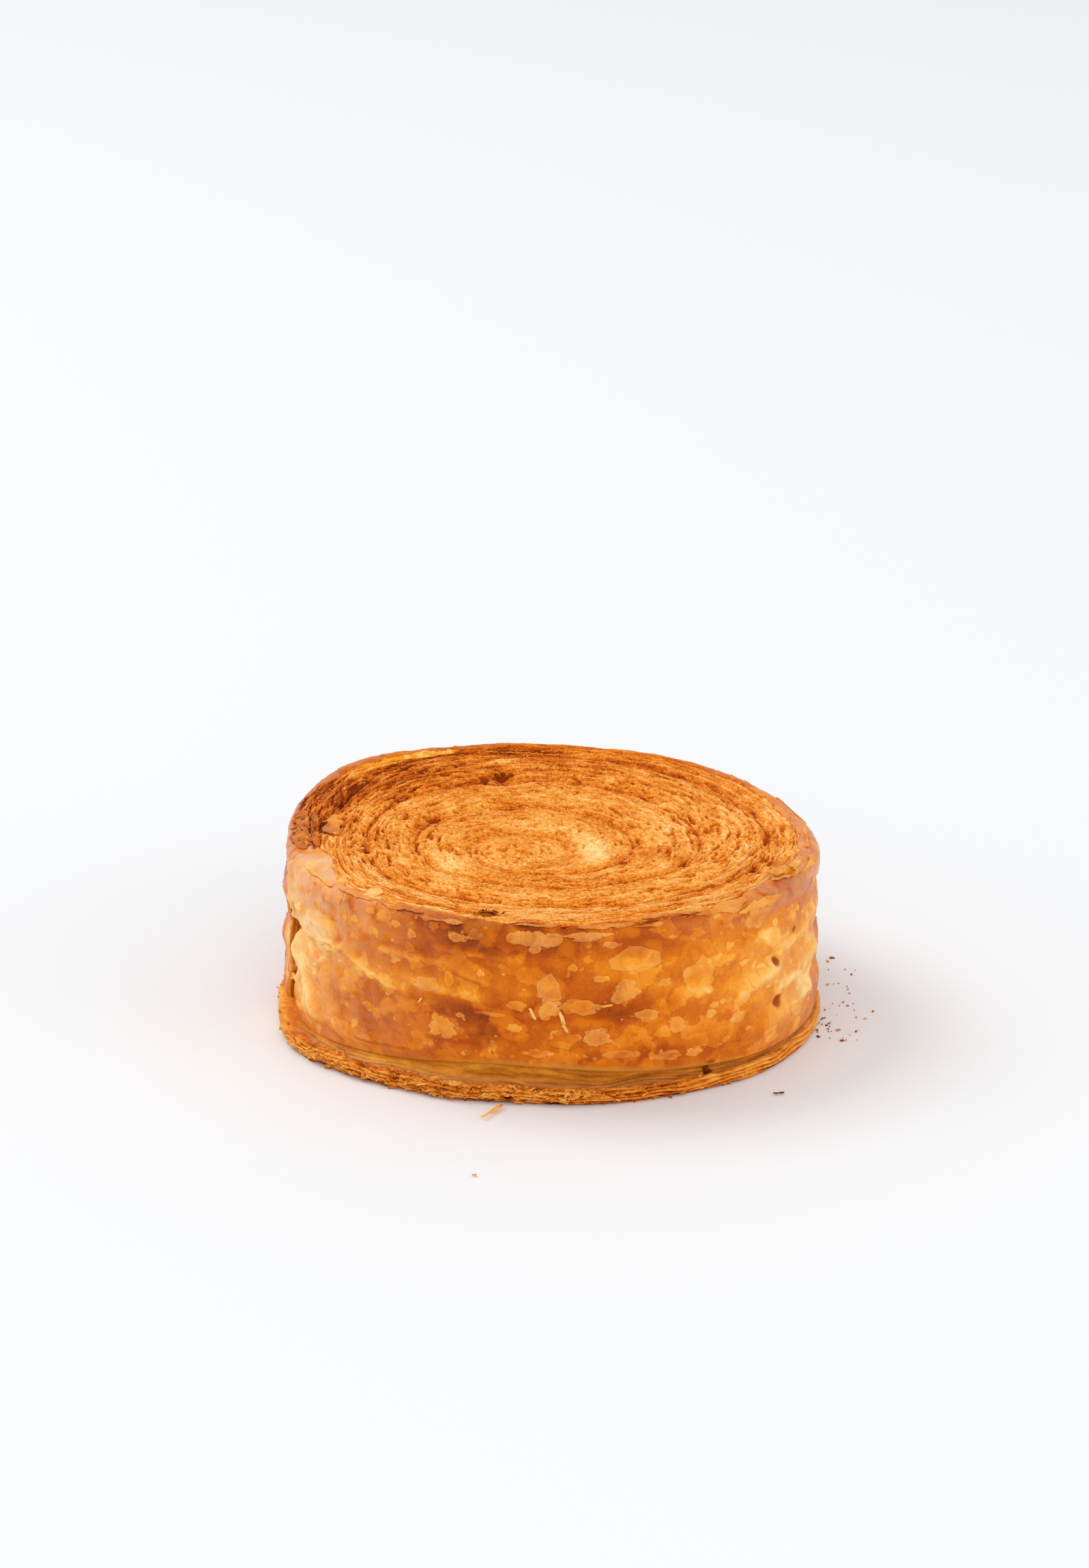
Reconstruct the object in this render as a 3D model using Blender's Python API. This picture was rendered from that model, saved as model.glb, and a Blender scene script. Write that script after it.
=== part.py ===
"""A croissant roll: a strip of laminated dough wound into a spiral and baked standing in a ring.

It is one piece of food, so it is one solid: a low drum with a crumbly ledge as its foot, an
overhanging crust round the side, a rounded rim, and the cut edge of the spiral as its top.
The surface is a set of closed rings, from the heart of the spiral out over the rim, down
the side and in under the foot. Flakes of blistered crust are thin plates fused to it.
Units are metres, +Z is up, and the origin is at the middle of the base.
Turn is the angle round the roll in degrees: 0 at +X, 90 at the back, -90 at the front.
"""

import bpy
import numpy as np

MM = 0.001

# Driving dimensions
FOOT_RADIUS = 56.0 * MM
RIM_RADIUS = 55.2 * MM
TOP_HEIGHT = 38.4 * MM
RIM_ROUND = 2.6 * MM
LEAN = 1.4 * MM  # the top rises this much towards LEAN_TURN, at the back left
LEAN_TURN = 130.0
LIP_RISE = 2.2 * MM  # and ends there in a raised lip
LIP_SPREAD = 30.0
FOOT_HEIGHT = 3.7 * MM
HEART = (-4.0 * MM, -15.5 * MM)  # the middle of the innermost whorl
TURNS = 4.08  # turns of the strip between the heart and the rim
FIRST_SEAM = 0.41  # where the first seam starts, as a share of a turn
TAIL_TURN = -166.0  # the loose end of the strip, on the left
MIDDLE = (-0.10 * MM, -0.08 * MM)  # middle of the roll's box, which goes to the origin

# Broad humps of an outline: turn, spread in degrees, millimetres outwards
FOOT_HUMPS = ((-35, 34, 1.5), (-108, 20, -1.5), (-155, 22, 1.9), (90, 50, -1.4))
RIM_HUMPS = ((-12, 22, 0.8), (24, 26, -1.4), (90, 28, 0.3), (143, 20, 1.3), (-172, 12, -0.7))
LEDGE_HUMPS = ((-148, 34, 2.4), (-100, 25, 0.9), (60, 60, 0.5))

# Relief
LEDGE = 0.9 * MM  # how far the foot stands out past the crust
CRUST_EDGE = 4.6 * MM  # height of the crust's lower edge
CRUST_EDGE_LIFT = 3.6 * MM  # it rides higher at the front
UNDERCUT = 2.4 * MM  # depth of the crease under that edge
SEAM_DEPTH = 0.7 * MM
SEAM_WIDTH = 0.10  # of a turn
GAP_DEPTH = 1.9 * MM  # the last seam stands open along the back
GAP_WIDTH = 0.07  # of a turn
GAP_HUMPS = ((62, 34, 1.0), (168, 20, 0.9), (120, 25, 0.4))  # turn, spread, share of its depth
LAST_SEAM = 4
TIER_HEIGHT = 9.5 * MM  # the side shows three or four tiers of layers
TIER_DEPTH = 0.7 * MM
TAIL_STEP = 2.3 * MM
CRATER_AT = (-10.0 * MM, 32.0 * MM)
CRATER_RADIUS = 3.4 * MM
CRATER_DEPTH = 1.4 * MM
CROWN = 0.25 * MM  # each turn of the strip is this much higher along its middle
CRAG_DEPTH = 1.3 * MM

# Rings of the surface
COLUMNS = 96
TOP_ROWS = 27
RIM_ROWS = 3
WALL_ROWS = 11
CRAG_SEED = 11

# Flakes of crust on the side: turn, height in mm, width in mm, height of the flake in mm
FLAKES = (
    (-90, 24.6, 4.9, 5.4), (-74, 23.3, 5.0, 4.9), (-57.5, 23.6, 7.6, 6.4), (-107, 22, 6.2, 4.0),
    (-126, 21.3, 4.6, 4.0), (-116, 23.2, 5.4, 3.4), (-42.5, 32.6, 5.2, 3.8), (-80, 14, 5.4, 3.4),
    (-63, 15, 3.8, 3.6), (-69.5, 18, 4.6, 2.8), (-83.5, 20, 6.6, 3.4), (-113, 14.5, 5.4, 4.6),
    (-95, 35.2, 6.6, 3.2), (-84, 35.4, 6.2, 2.8), (-77, 35.8, 4.2, 3.0), (-49, 36, 6.0, 2.8),
    (-38, 35.6, 5.0, 3.4), (-62, 9, 5.6, 2.6), (-25, 23.4, 4.0, 2.6), (-26, 36.4, 7.0, 3.0),
)
BACK_FLAKES = 14
FLAKE_SIDES = 8
FLAKE_PROUD = 0.35 * MM
FLAKE_ROOT = 0.7 * MM


def hump(turn, middle, spread):
    """A bell round the roll: 1 at its middle and nearly 0 two spreads away."""
    away = (turn - middle + 180) % 360 - 180
    return np.exp(-((away / spread) ** 2))


def ease(value, start, end):
    """0 before start, 1 after end, and a smooth rise between them."""
    share = np.clip((value - start) / (end - start), 0, 1)
    return share * share * (3 - 2 * share)


def outline(turn, radius, table):
    """A circle with the broad humps and hollows of its table."""
    return radius + MM * sum(size * hump(turn, middle, spread) for middle, spread, size in table)


def tail(turn):
    """How far the crust steps in past the strip's loose end: at once, then easing out again."""
    past = (turn - TAIL_TURN) % 360
    return TAIL_STEP * ease(past, 0, 2.5) * (1 - ease(past, 4, 26))


def rim_radius(turn):
    return outline(turn, RIM_RADIUS, RIM_HUMPS) - tail(turn)


def crust_foot_radius(turn):
    """The lower edge of the crust, inside the ledge."""
    return outline(turn, FOOT_RADIUS, FOOT_HUMPS) - outline(turn, LEDGE, LEDGE_HUMPS) - 0.3 * tail(turn)


def crust_edge_height(turn):
    return CRUST_EDGE + CRUST_EDGE_LIFT * hump(turn, -106, 34) + 0.4 * MM * np.sin(np.radians(5 * turn))


def spiral(share, turn):
    """Turns of the strip passed on the way out, a whole number at each seam.

    Share is 0 at the heart and 1 at the rim. The strip lies looser at the front, and its last
    stretch, at the back left, is pressed in towards the middle.
    """
    loose = 0.12 * hump(turn, -95, 62) * 4 * share * (1 - share)
    pressed = 0.11 * hump(turn, 158, 28) * ease(share, 0.6, 0.85)
    return TURNS * (share + loose + pressed) - turn / 360 + FIRST_SEAM


def top_height(share, turn, x, y):
    """The top leans up to the back left, ends there in a lip, and dips along the seams."""
    lean_way = np.radians(LEAN_TURN)
    lean = LEAN * (x * np.cos(lean_way) + y * np.sin(lean_way)) / RIM_RADIUS
    lip = LIP_RISE * hump(turn, LEAN_TURN, LIP_SPREAD) * ease(share, 0.78, 0.93)
    wound = spiral(share, turn)
    off_seam = wound - np.round(wound)
    seam = SEAM_DEPTH * np.exp(-((off_seam / SEAM_WIDTH) ** 2)) * ease(share, 0.05, 0.25)
    crown = -CROWN * np.cos(2 * np.pi * off_seam)
    open_here = sum(depth * hump(turn, middle, spread) for middle, spread, depth in GAP_HUMPS)
    off_last = spiral(share, turn % 360) - LAST_SEAM
    gap = GAP_DEPTH * open_here * np.exp(-((off_last / GAP_WIDTH) ** 2))
    from_crater = ((x - CRATER_AT[0]) ** 2 + (y - CRATER_AT[1]) ** 2) / CRATER_RADIUS**2
    return TOP_HEIGHT + lean + lip + crown - seam - gap - CRATER_DEPTH * np.exp(-from_crater)


def rim_edge(turn):
    """Where the top ends and the rounding of the rim begins."""
    radius = rim_radius(turn) - RIM_ROUND
    return radius * np.cos(np.radians(turn)), radius * np.sin(np.radians(turn))


def top_ring(share, turn):
    edge_x, edge_y = rim_edge(turn)
    x = HEART[0] + share * (edge_x - HEART[0])
    y = HEART[1] + share * (edge_y - HEART[1])
    return x, y, top_height(share, turn, x, y)


def side_ring(radius, height, turn):
    return radius * np.cos(np.radians(turn)), radius * np.sin(np.radians(turn)), height + 0 * turn


def tiers(height, turn):
    """Rounded tiers of layers with creases between them, deeper at the left and right."""
    waving = 1.2 * MM * np.sin(np.radians(3 * turn + 40)) + 0.7 * MM * np.sin(np.radians(5 * turn))
    arch = np.abs(np.sin(np.pi * (height - 2.5 * MM + waving) / TIER_HEIGHT)) ** 0.7
    depth = TIER_DEPTH * (0.5 + 0.6 * hump(turn, -20, 40) + 0.7 * hump(turn, -150, 34))
    return depth * (arch - 0.6)


def wall_radius(height, turn, rim_height):
    """The crust's side: straight from its lower edge to the rim, with its tiers."""
    low = crust_edge_height(turn)
    share = np.clip((height - low) / (rim_height - low), 0, 1)
    straight = crust_foot_radius(turn) * (1 - share) + rim_radius(turn) * share
    return straight + tiers(height, turn) * ease(share, 0.0, 0.12) * (1 - ease(share, 0.86, 1.0))


def rim_height(turn):
    """Height at which the rim's rounding meets the side."""
    x, y = rim_edge(turn)
    return top_height(1.0, turn, x, y) - RIM_ROUND


def crust_point(turn, height):
    """A point on the side or on the rounding of the rim."""
    top = rim_height(turn)
    over = np.clip((height - top) / RIM_ROUND, 0, 1)
    inward = RIM_ROUND * (1 - np.sqrt(1 - over**2))
    return np.array(side_ring(wall_radius(np.minimum(height, top), turn, top) - inward, height, turn))


def roll_rings(turn):
    """Every ring of the surface but its two poles, from the heart to under the foot."""
    rings = [top_ring(row / TOP_ROWS, turn) for row in range(1, TOP_ROWS + 1)]
    top = rim_height(turn)
    for row in range(1, RIM_ROWS):
        over = np.pi / 2 * row / RIM_ROWS
        radius = rim_radius(turn) - RIM_ROUND * (1 - np.sin(over))
        rings.append(side_ring(radius, top + RIM_ROUND * np.cos(over), turn))
    low = crust_edge_height(turn)
    for row in range(WALL_ROWS):
        height = top + (low + 0.6 * MM - top) * row / (WALL_ROWS - 1)
        rings.append(side_ring(wall_radius(height, turn, top), height, turn))
    return rings + foot_rings(turn, low)


def foot_rings(turn, low):
    """The crust's lower lip, the crease under it, the craggy ledge and the flat base."""
    crags = np.random.default_rng(CRAG_SEED).uniform(-1, 1, (5, len(turn)))
    crust = crust_foot_radius(turn)
    ledge = outline(turn, FOOT_RADIUS, FOOT_HUMPS)
    shelf = FOOT_HEIGHT + 0.3 * MM * crags[0]
    return [
        side_ring(crust - 0.5 * MM, low, turn),
        side_ring(crust - UNDERCUT, low + 0.4 * MM, turn),
        side_ring(crust - UNDERCUT, np.minimum(shelf, low - 0.6 * MM), turn),
        side_ring(ledge - 0.9 * MM + 0.3 * MM * crags[1], np.minimum(shelf, low - 0.5 * MM), turn),
        side_ring(ledge - 0.3 * MM + 0.4 * CRAG_DEPTH * crags[2], 2.5 * MM, turn),
        side_ring(ledge - 0.4 * MM + 0.5 * CRAG_DEPTH * crags[3], 1.2 * MM, turn),
        side_ring(ledge - 1.2 * MM + 0.4 * MM * crags[4], 0.0, turn),
        side_ring(0.5 * ledge, 0.0, turn),
    ]


def closed_mesh(name, rings, first_pole, last_pole):
    """Quads between neighbouring rings, and a fan of triangles at each pole."""
    columns = len(rings[0][0])
    grid = np.concatenate([np.stack(ring, axis=1) for ring in rings])
    points = np.vstack([first_pole, grid, last_pole])
    here = np.arange(columns)
    after = (here + 1) % columns
    faces = [(0, 1 + a, 1 + b) for a, b in zip(here, after)]
    for row in range(len(rings) - 1):
        inner = 1 + row * columns
        outer = inner + columns
        faces += [(inner + a, outer + a, outer + b, inner + b) for a, b in zip(here, after)]
    last = len(points) - 1
    base = last - columns
    faces += [(last, base + b, base + a) for a, b in zip(here, after)]
    mesh = bpy.data.meshes.new(name)
    mesh.from_pydata(points.tolist(), [], [[int(i) for i in face] for face in faces])
    mesh.update()
    return mesh


def flake_mesh(name, turn, height, width, tall, ragged):
    """A ragged plate that follows the side: its root is sunk in the crust, its face stands proud."""
    around = 2 * np.pi * np.arange(FLAKE_SIDES) / FLAKE_SIDES
    degrees_wide = np.degrees(width * MM / 2 / RIM_RADIUS)
    turns = turn + ragged * degrees_wide * np.cos(around)
    heights = height * MM + ragged * tall * MM / 2 * np.sin(around)
    skin = np.stack([crust_point(t, h) for t, h in zip(turns, heights)])
    outwards = np.stack([np.cos(np.radians(turns)), np.sin(np.radians(turns)), 0 * turns], axis=1)
    middle = crust_point(turn, height * MM)
    middle_out = np.array([np.cos(np.radians(turn)), np.sin(np.radians(turn)), 0])
    points = np.vstack([
        middle - FLAKE_ROOT * middle_out,
        skin - FLAKE_ROOT * outwards,
        skin + FLAKE_PROUD * outwards,
        middle + 1.4 * FLAKE_PROUD * middle_out,
    ])
    faces = []
    for side in range(FLAKE_SIDES):
        beside = (side + 1) % FLAKE_SIDES
        root, root_beside = 1 + side, 1 + beside
        face, face_beside = root + FLAKE_SIDES, root_beside + FLAKE_SIDES
        faces += [(0, root_beside, root), (root, root_beside, face_beside, face)]
        faces.append((len(points) - 1, face, face_beside))
    mesh = bpy.data.meshes.new(name)
    mesh.from_pydata(points.tolist(), [], faces)
    mesh.update()
    return mesh


def all_flakes():
    """The flakes seen from the front, then a seeded scatter of the same sizes round the back."""
    draw = np.random.default_rng(CRAG_SEED + 1)
    rows = [(*row, draw.uniform(0.8, 1.1, FLAKE_SIDES)) for row in FLAKES]
    for index in range(BACK_FLAKES):
        turn = 4 + (index + draw.uniform(0.2, 0.8)) * 180 / BACK_FLAKES
        size = draw.uniform(3.4, 6.4)
        rows.append((turn, draw.uniform(11, 34), size, 0.75 * size, draw.uniform(0.8, 1.1, FLAKE_SIDES)))
    return rows


def crust_material(name, colour, roughness):
    material = bpy.data.materials.new(name)
    material.use_nodes = True
    shader = material.node_tree.nodes["Principled BSDF"]
    shader.inputs["Base Color"].default_value = (*colour, 1)
    shader.inputs["Roughness"].default_value = roughness
    shader.inputs["Metallic"].default_value = 0
    material.diffuse_color = (*colour, 1)
    return material


def add_object(name, mesh, collection):
    thing = bpy.data.objects.new(name, mesh)
    collection.objects.link(thing)
    return thing


def fuse(thing, collection):
    """One union of the object with all of the collection, applied, and the collection removed."""
    join = thing.modifiers.new("flakes", "BOOLEAN")
    join.operation = "UNION"
    join.operand_type = "COLLECTION"
    join.collection = collection
    join.solver = "MANIFOLD"
    graph = bpy.context.evaluated_depsgraph_get()
    fused = bpy.data.meshes.new_from_object(thing.evaluated_get(graph))
    thing.modifiers.clear()
    thing.data = fused
    for piece in list(collection.objects):
        bpy.data.objects.remove(piece)
    bpy.data.collections.remove(collection)


def build_roll():
    turn = np.arange(COLUMNS) * 360 / COLUMNS - 180
    heart = np.array([[*HEART, top_height(0.0, 0.0, *HEART)]])
    mesh = closed_mesh("roll", roll_rings(turn), heart, np.zeros((1, 3)))
    roll = add_object("roll", mesh, bpy.context.scene.collection)
    flakes = bpy.data.collections.new("flakes")
    bpy.context.scene.collection.children.link(flakes)
    for number, row in enumerate(all_flakes(), 1):
        add_object(f"flake_{number}", flake_mesh(f"flake_{number}", *row), flakes)
    fuse(roll, flakes)
    places = np.array([vertex.co for vertex in roll.data.vertices])
    places[:, :2] -= np.array(MIDDLE)
    roll.data.vertices.foreach_set("co", places.ravel())
    roll.data.materials.clear()
    roll.data.materials.append(crust_material("baked crust", (0.62, 0.25, 0.06), 0.45))
    roll.data.shade_smooth()
    roll.data.set_sharp_from_angle(angle=np.radians(50))
    return roll


for leftover in list(bpy.data.objects):
    bpy.data.objects.remove(leftover)
build_roll()
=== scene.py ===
"""A croissant roll: a strip of laminated dough wound into a spiral and baked in a ring.

Sizes are in millimetres, and a mesh is made in metres. Turn is the angle round the roll in
degrees: 0 at +X, 90 at the back, -90 at the front. Heights are above the table.
"""
import itertools

import bpy
import numpy as np
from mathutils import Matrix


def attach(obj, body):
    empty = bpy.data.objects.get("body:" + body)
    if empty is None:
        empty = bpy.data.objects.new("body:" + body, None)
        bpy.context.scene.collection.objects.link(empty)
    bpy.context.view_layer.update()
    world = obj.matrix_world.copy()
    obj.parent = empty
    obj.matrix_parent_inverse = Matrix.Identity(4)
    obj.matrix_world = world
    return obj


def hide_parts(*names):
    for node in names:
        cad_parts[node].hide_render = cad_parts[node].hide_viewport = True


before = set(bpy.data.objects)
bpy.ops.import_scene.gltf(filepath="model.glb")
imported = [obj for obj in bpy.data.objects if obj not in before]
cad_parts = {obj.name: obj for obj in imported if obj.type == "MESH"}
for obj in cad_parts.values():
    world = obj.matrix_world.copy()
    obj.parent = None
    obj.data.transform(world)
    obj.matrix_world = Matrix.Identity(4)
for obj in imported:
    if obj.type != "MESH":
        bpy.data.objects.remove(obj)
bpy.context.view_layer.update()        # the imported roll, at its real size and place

# ------------------------------------------------------------------------------------------
# The cut edge of the dough strip: the top of the roll. The strip is wound four times round
# its heart, so its cut edge is a spiral of thin sheets with flattened pores between them,
# baked to a dry golden crumb. It is made as an inner disc and two rings round it.

MM = 0.001
MIDDLE = (-0.10, -0.08, 0)  # middle of the roll's box, which is the model's origin
RIM_RADIUS = 55.2
RIM_ROUND = 2.6
RIM_ARC = RIM_ROUND * np.pi / 2
# Bells round the roll: turn of the middle, spread in degrees, size
RIM_HUMPS = ((-12, 22, 0.8), (24, 26, -1.4), (90, 28, 0.0), (140, 18, 0.9), (-178, 17, -1.6))
TOP_HEIGHT = 38.1
LEAN = 1.1
LEAN_TURN = 130.0
LIP_RISE = 1.9
LIP_SPREAD = 30.0
HEART = np.array([-4.0, -15.5])
TURNS = 4.08
FIRST_SEAM = 0.41
STRIP_WIDTH = 12.9  # of one turn, where the strip isn't squeezed
TAIL_TURN = -166.0
TAIL_STEP = 2.3
SEAM_DEPTH = 0.35
SEAM_WIDTH = 0.10
GAP_DEPTH = 1.1
GAP_WIDTH = 0.07
GAP_HUMPS = ((62, 34, 1.0), (168, 20, 0.9), (120, 25, 0.4))
LAST_SEAM = 4
CRATER_AT = (-10.0, 32.0)
CRATER_RADIUS = 3.4
CRATER_DEPTH = 1.4
CROWN = 0.25
CRUST_EDGE = 4.2  # height of the crust's lower edge
CRUST_EDGE_LIFT = 3.7
FOOT_RADIUS = 56.0
FOOT_HUMPS = ((-35, 34, 1.5), (-44, 9, 0.6), (-108, 20, -1.5), (-155, 22, 1.9), (90, 50, -1.4))
LEDGE = 0.9
LEDGE_HUMPS = ((-148, 34, 2.4), (-100, 25, 0.9), (60, 60, 0.5))
TIER_HEIGHT = 9.5
TIER_DEPTH = 0.7
SKIN_END_HUMPS = ((-168, 17, 4.2), (-66, 34, -1.9), (0, 26, 0.8), (90, 60, -0.4), (178, 24, -2.8),
                  (132, 24, 0.9))
INNER_SHARE = 0.62  # the inner disc reaches this far from the heart to the rim
DISC_CELLS = 308
RING_ROWS = 79
RIM_SHARE = 0.86  # the outer ring reaches this far, and a finer ring goes on round the rim
BENT_SHARE = 1.062
CRUMB_FLOOR = TOP_HEIGHT - 4.0  # the pieces of the top go this far down into the roll


def hump(turn, middle, spread):
    """A bell round the roll: exp(-(angle away / spread)^2)."""
    return np.exp(-((((turn - middle + 180) % 360 - 180) / spread) ** 2))


def humps(turn, table):
    """The sum of a table's bells, each times its size."""
    return sum(size * hump(turn, middle, spread) for middle, spread, size in table)


def ease(value, start, end):
    """0 before start, 1 after end, and between them 3t^2 - 2t^3 of the share passed."""
    share = np.clip((value - start) / (end - start), 0, 1)
    return share * share * (3 - 2 * share)


def bell(value):
    """exp(-value^2)."""
    return np.exp(-(value**2))


def ring_at(radius, height, turn):
    """Places round the roll; with 1 and 0, the way outwards."""
    way = np.radians(turn)
    return np.stack(np.broadcast_arrays(radius * np.cos(way), radius * np.sin(way), height), -1)


def tail(turn):
    """The step in past the strip's loose end: at once, then easing out again."""
    past = (turn - TAIL_TURN) % 360
    return TAIL_STEP * ease(past, 0, 2.5) * (1 - ease(past, 4, 26))


def rim_radius(turn):
    return RIM_RADIUS + humps(turn, RIM_HUMPS) - tail(turn)


def rim_edge(turn):
    """Where the flat of the top ends: the rim's radius less its rounding."""
    return ring_at(rim_radius(turn) - RIM_ROUND, 0, turn)[..., :2]


def spiral(share, turn):
    """Turns of the strip passed on the way out: TURNS * share - turn / 360, looser at the
    front, and pressed in at the back left. It is a whole number at each seam."""
    loose = 0.12 * hump(turn, -95, 62) * 4 * share * (1 - share)
    pressed = 0.11 * hump(turn, 158, 28) * ease(share, 0.6, 0.85)
    return TURNS * (share + loose + pressed) - turn / 360 + FIRST_SEAM


def top_height(share, turn, place):
    """A plane leaning to the back left, plus a lip there, less a bell along each seam."""
    x, y = place[..., 0], place[..., 1]
    way = np.radians(LEAN_TURN)
    lean = LEAN * (x * np.cos(way) + y * np.sin(way)) / RIM_RADIUS
    lip = LIP_RISE * hump(turn, LEAN_TURN, LIP_SPREAD) * ease(share, 0.78, 0.93)
    wound = spiral(share, turn)
    off_seam = wound - np.round(wound)
    seam = SEAM_DEPTH * bell(off_seam / SEAM_WIDTH) * ease(share, 0.05, 0.25)
    crown = -CROWN * np.cos(2 * np.pi * off_seam)
    off_last = spiral(share, turn % 360) - LAST_SEAM
    gap = GAP_DEPTH * humps(turn, GAP_HUMPS) * bell(off_last / GAP_WIDTH)
    crater = CRATER_DEPTH * bell(np.hypot(x - CRATER_AT[0], y - CRATER_AT[1]) / CRATER_RADIUS)
    return TOP_HEIGHT + lean + lip + crown - seam - gap - crater


def strip_place(share, turn):
    """Across and along the dough strip, in mm. Across is the part of a turn passed since the
    last seam; along is the length of an even spiral wound so far, which grows as angle^2."""
    wound = spiral(share, turn)
    lap = np.floor(wound)
    angle = np.radians(turn) + 2 * np.pi * lap + 0.57
    return (wound - lap) * STRIP_WIDTH, STRIP_WIDTH / (4 * np.pi) * angle * np.abs(angle)


def crust_foot_radius(turn):
    """The lower edge of the crust, inside the ledge."""
    ledge = LEDGE + humps(turn, LEDGE_HUMPS)
    return FOOT_RADIUS + humps(turn, FOOT_HUMPS) - ledge - 0.3 * tail(turn)


def crust_edge_height(turn):
    return CRUST_EDGE + CRUST_EDGE_LIFT * hump(turn, -93, 27) + 0.4 * np.sin(np.radians(5 * turn))


def rim_height(turn):
    """Where the rim's rounding meets the side: the top's edge less the rounding."""
    return top_height(1.0, turn, rim_edge(turn)) - RIM_ROUND


def tiers(height, turn):
    """Rounded tiers of layers: |sine|^0.7 up the side, waving round it."""
    waving = 1.2 * np.sin(np.radians(3 * turn + 40)) + 0.7 * np.sin(np.radians(5 * turn))
    arch = np.abs(np.sin(np.pi * (height - 2.5 + waving) / TIER_HEIGHT)) ** 0.7
    return TIER_DEPTH * (0.5 + humps(turn, ((-20, 40, 0.6), (-150, 34, 0.7)))) * (arch - 0.6)


def glued(height):
    """The share of the step at the loose end that is closed: nearly all of it near the top."""
    return 0.85 * ease(height, 23, 30)


def wall_radius(height, turn, corner):
    """A straight line from the crust's lower edge to the rim, plus the tiers."""
    low = crust_edge_height(turn)
    share = np.clip((height - low) / (corner - low), 0, 1)
    straight = crust_foot_radius(turn) * (1 - share) + rim_radius(turn) * share
    straight = straight + glued(height) * tail(turn)
    return straight + tiers(height, turn) * ease(share, 0.0, 0.12) * (1 - ease(share, 0.86, 1.0))


def skin_at(turn, run):
    """The skin's smooth form and the way it faces. Run is the height up the wall, then goes on
    round the quarter circle of the rim, then inwards over the top towards the heart."""
    corner = rim_height(turn)
    wall = np.minimum(run, corner)
    bend = np.clip((run - corner) / RIM_ROUND, 0, np.pi / 2)
    inward = np.maximum(run - corner - RIM_ARC, 0)[..., None]
    radius = wall_radius(wall, turn, corner) - RIM_ROUND * (1 - np.cos(bend))
    side = ring_at(radius, wall + RIM_ROUND * np.sin(bend), turn)
    way = rim_edge(turn) - HEART
    share = 1 - inward / np.linalg.norm(way, axis=-1, keepdims=True)
    over = HEART + share * way
    over = np.concatenate([over, top_height(share[..., 0], turn, over)[..., None]], -1)
    return np.where(inward > 0, over, side), ring_at(np.cos(bend), np.sin(bend), turn)


def grain(places, size, seed):
    """Gradient noise, -1 to 1: a random slope at each corner of a lattice of this size, and
    between the corners their blend by 6t^5 - 15t^4 + 10t^3."""
    draw = np.random.default_rng(seed)
    order = draw.permutation(256)
    slopes = unit(draw.normal(size=(256, 3)))
    scaled = places / np.asarray(size) + draw.uniform(0, 50, 3)
    cell = np.floor(scaled).astype(int)
    within = scaled - cell
    fade = within**3 * (within * (within * 6 - 15) + 10)
    total = 0
    for corner in itertools.product((0, 1), repeat=3):
        near = (cell + corner) & 255
        pick = 0
        for axis in range(3):
            pick = order[(pick + near[..., axis]) & 255]
        weight = np.prod(np.where(corner, fade, 1 - fade), axis=-1)
        total = total + weight * ((within - corner) * slopes[pick]).sum(axis=-1)
    return 1.5 * total


def unit(vectors):
    return vectors / np.linalg.norm(vectors, axis=-1, keepdims=True)


def on_map(first, second):
    """Places on a flat map, for noise that follows a strip or a path."""
    return np.stack(np.broadcast_arrays(first, second, 0.0), -1)


def spots(along, across, cell, spot, kept, seed):
    """Scattered ovals, 1 in the middle and 0 at the edge: one somewhere in each cell of a
    lattice, kept at random, with its size between half of spot and all of it."""
    draw = np.random.default_rng(seed)
    order = draw.permutation(256)
    place_along, place_across, scale, chance = draw.random((4, 256))
    best = 0.0
    for step_along, step_across in itertools.product((-1, 0, 1), repeat=2):
        cell_along = np.floor(along / cell[0]).astype(int) + step_along
        cell_across = np.floor(across / cell[1]).astype(int) + step_across
        pick = order[(order[cell_along & 255] + cell_across) & 255]
        size = 0.5 + 0.5 * scale[pick]
        off_along = along - (cell_along + place_along[pick]) * cell[0]
        off_across = across - (cell_across + place_across[pick]) * cell[1]
        away = np.hypot(off_along / (spot[0] * size), off_across / (spot[1] * size))
        best = np.maximum(best, np.clip(1 - away, 0, 1) * size * (chance[pick] < kept))
    return best


def skin_end(turn):
    """Run of the skin's ragged upper edge. At the front it ends on the rim's rounding, and at
    the left it reaches far in over the top."""
    on_rim = ring_at(52, 0, turn)
    ragged = 1.0 * grain(on_rim, 7.0, 46) + 0.7 * grain(on_rim, 2.2, 47) + 0.35 * grain(on_rim, 0.9, 48)
    wide = 0.5 + humps(turn, SKIN_END_HUMPS) + ragged
    return rim_height(turn) + RIM_ARC + np.maximum(wide, -2.6)


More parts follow.
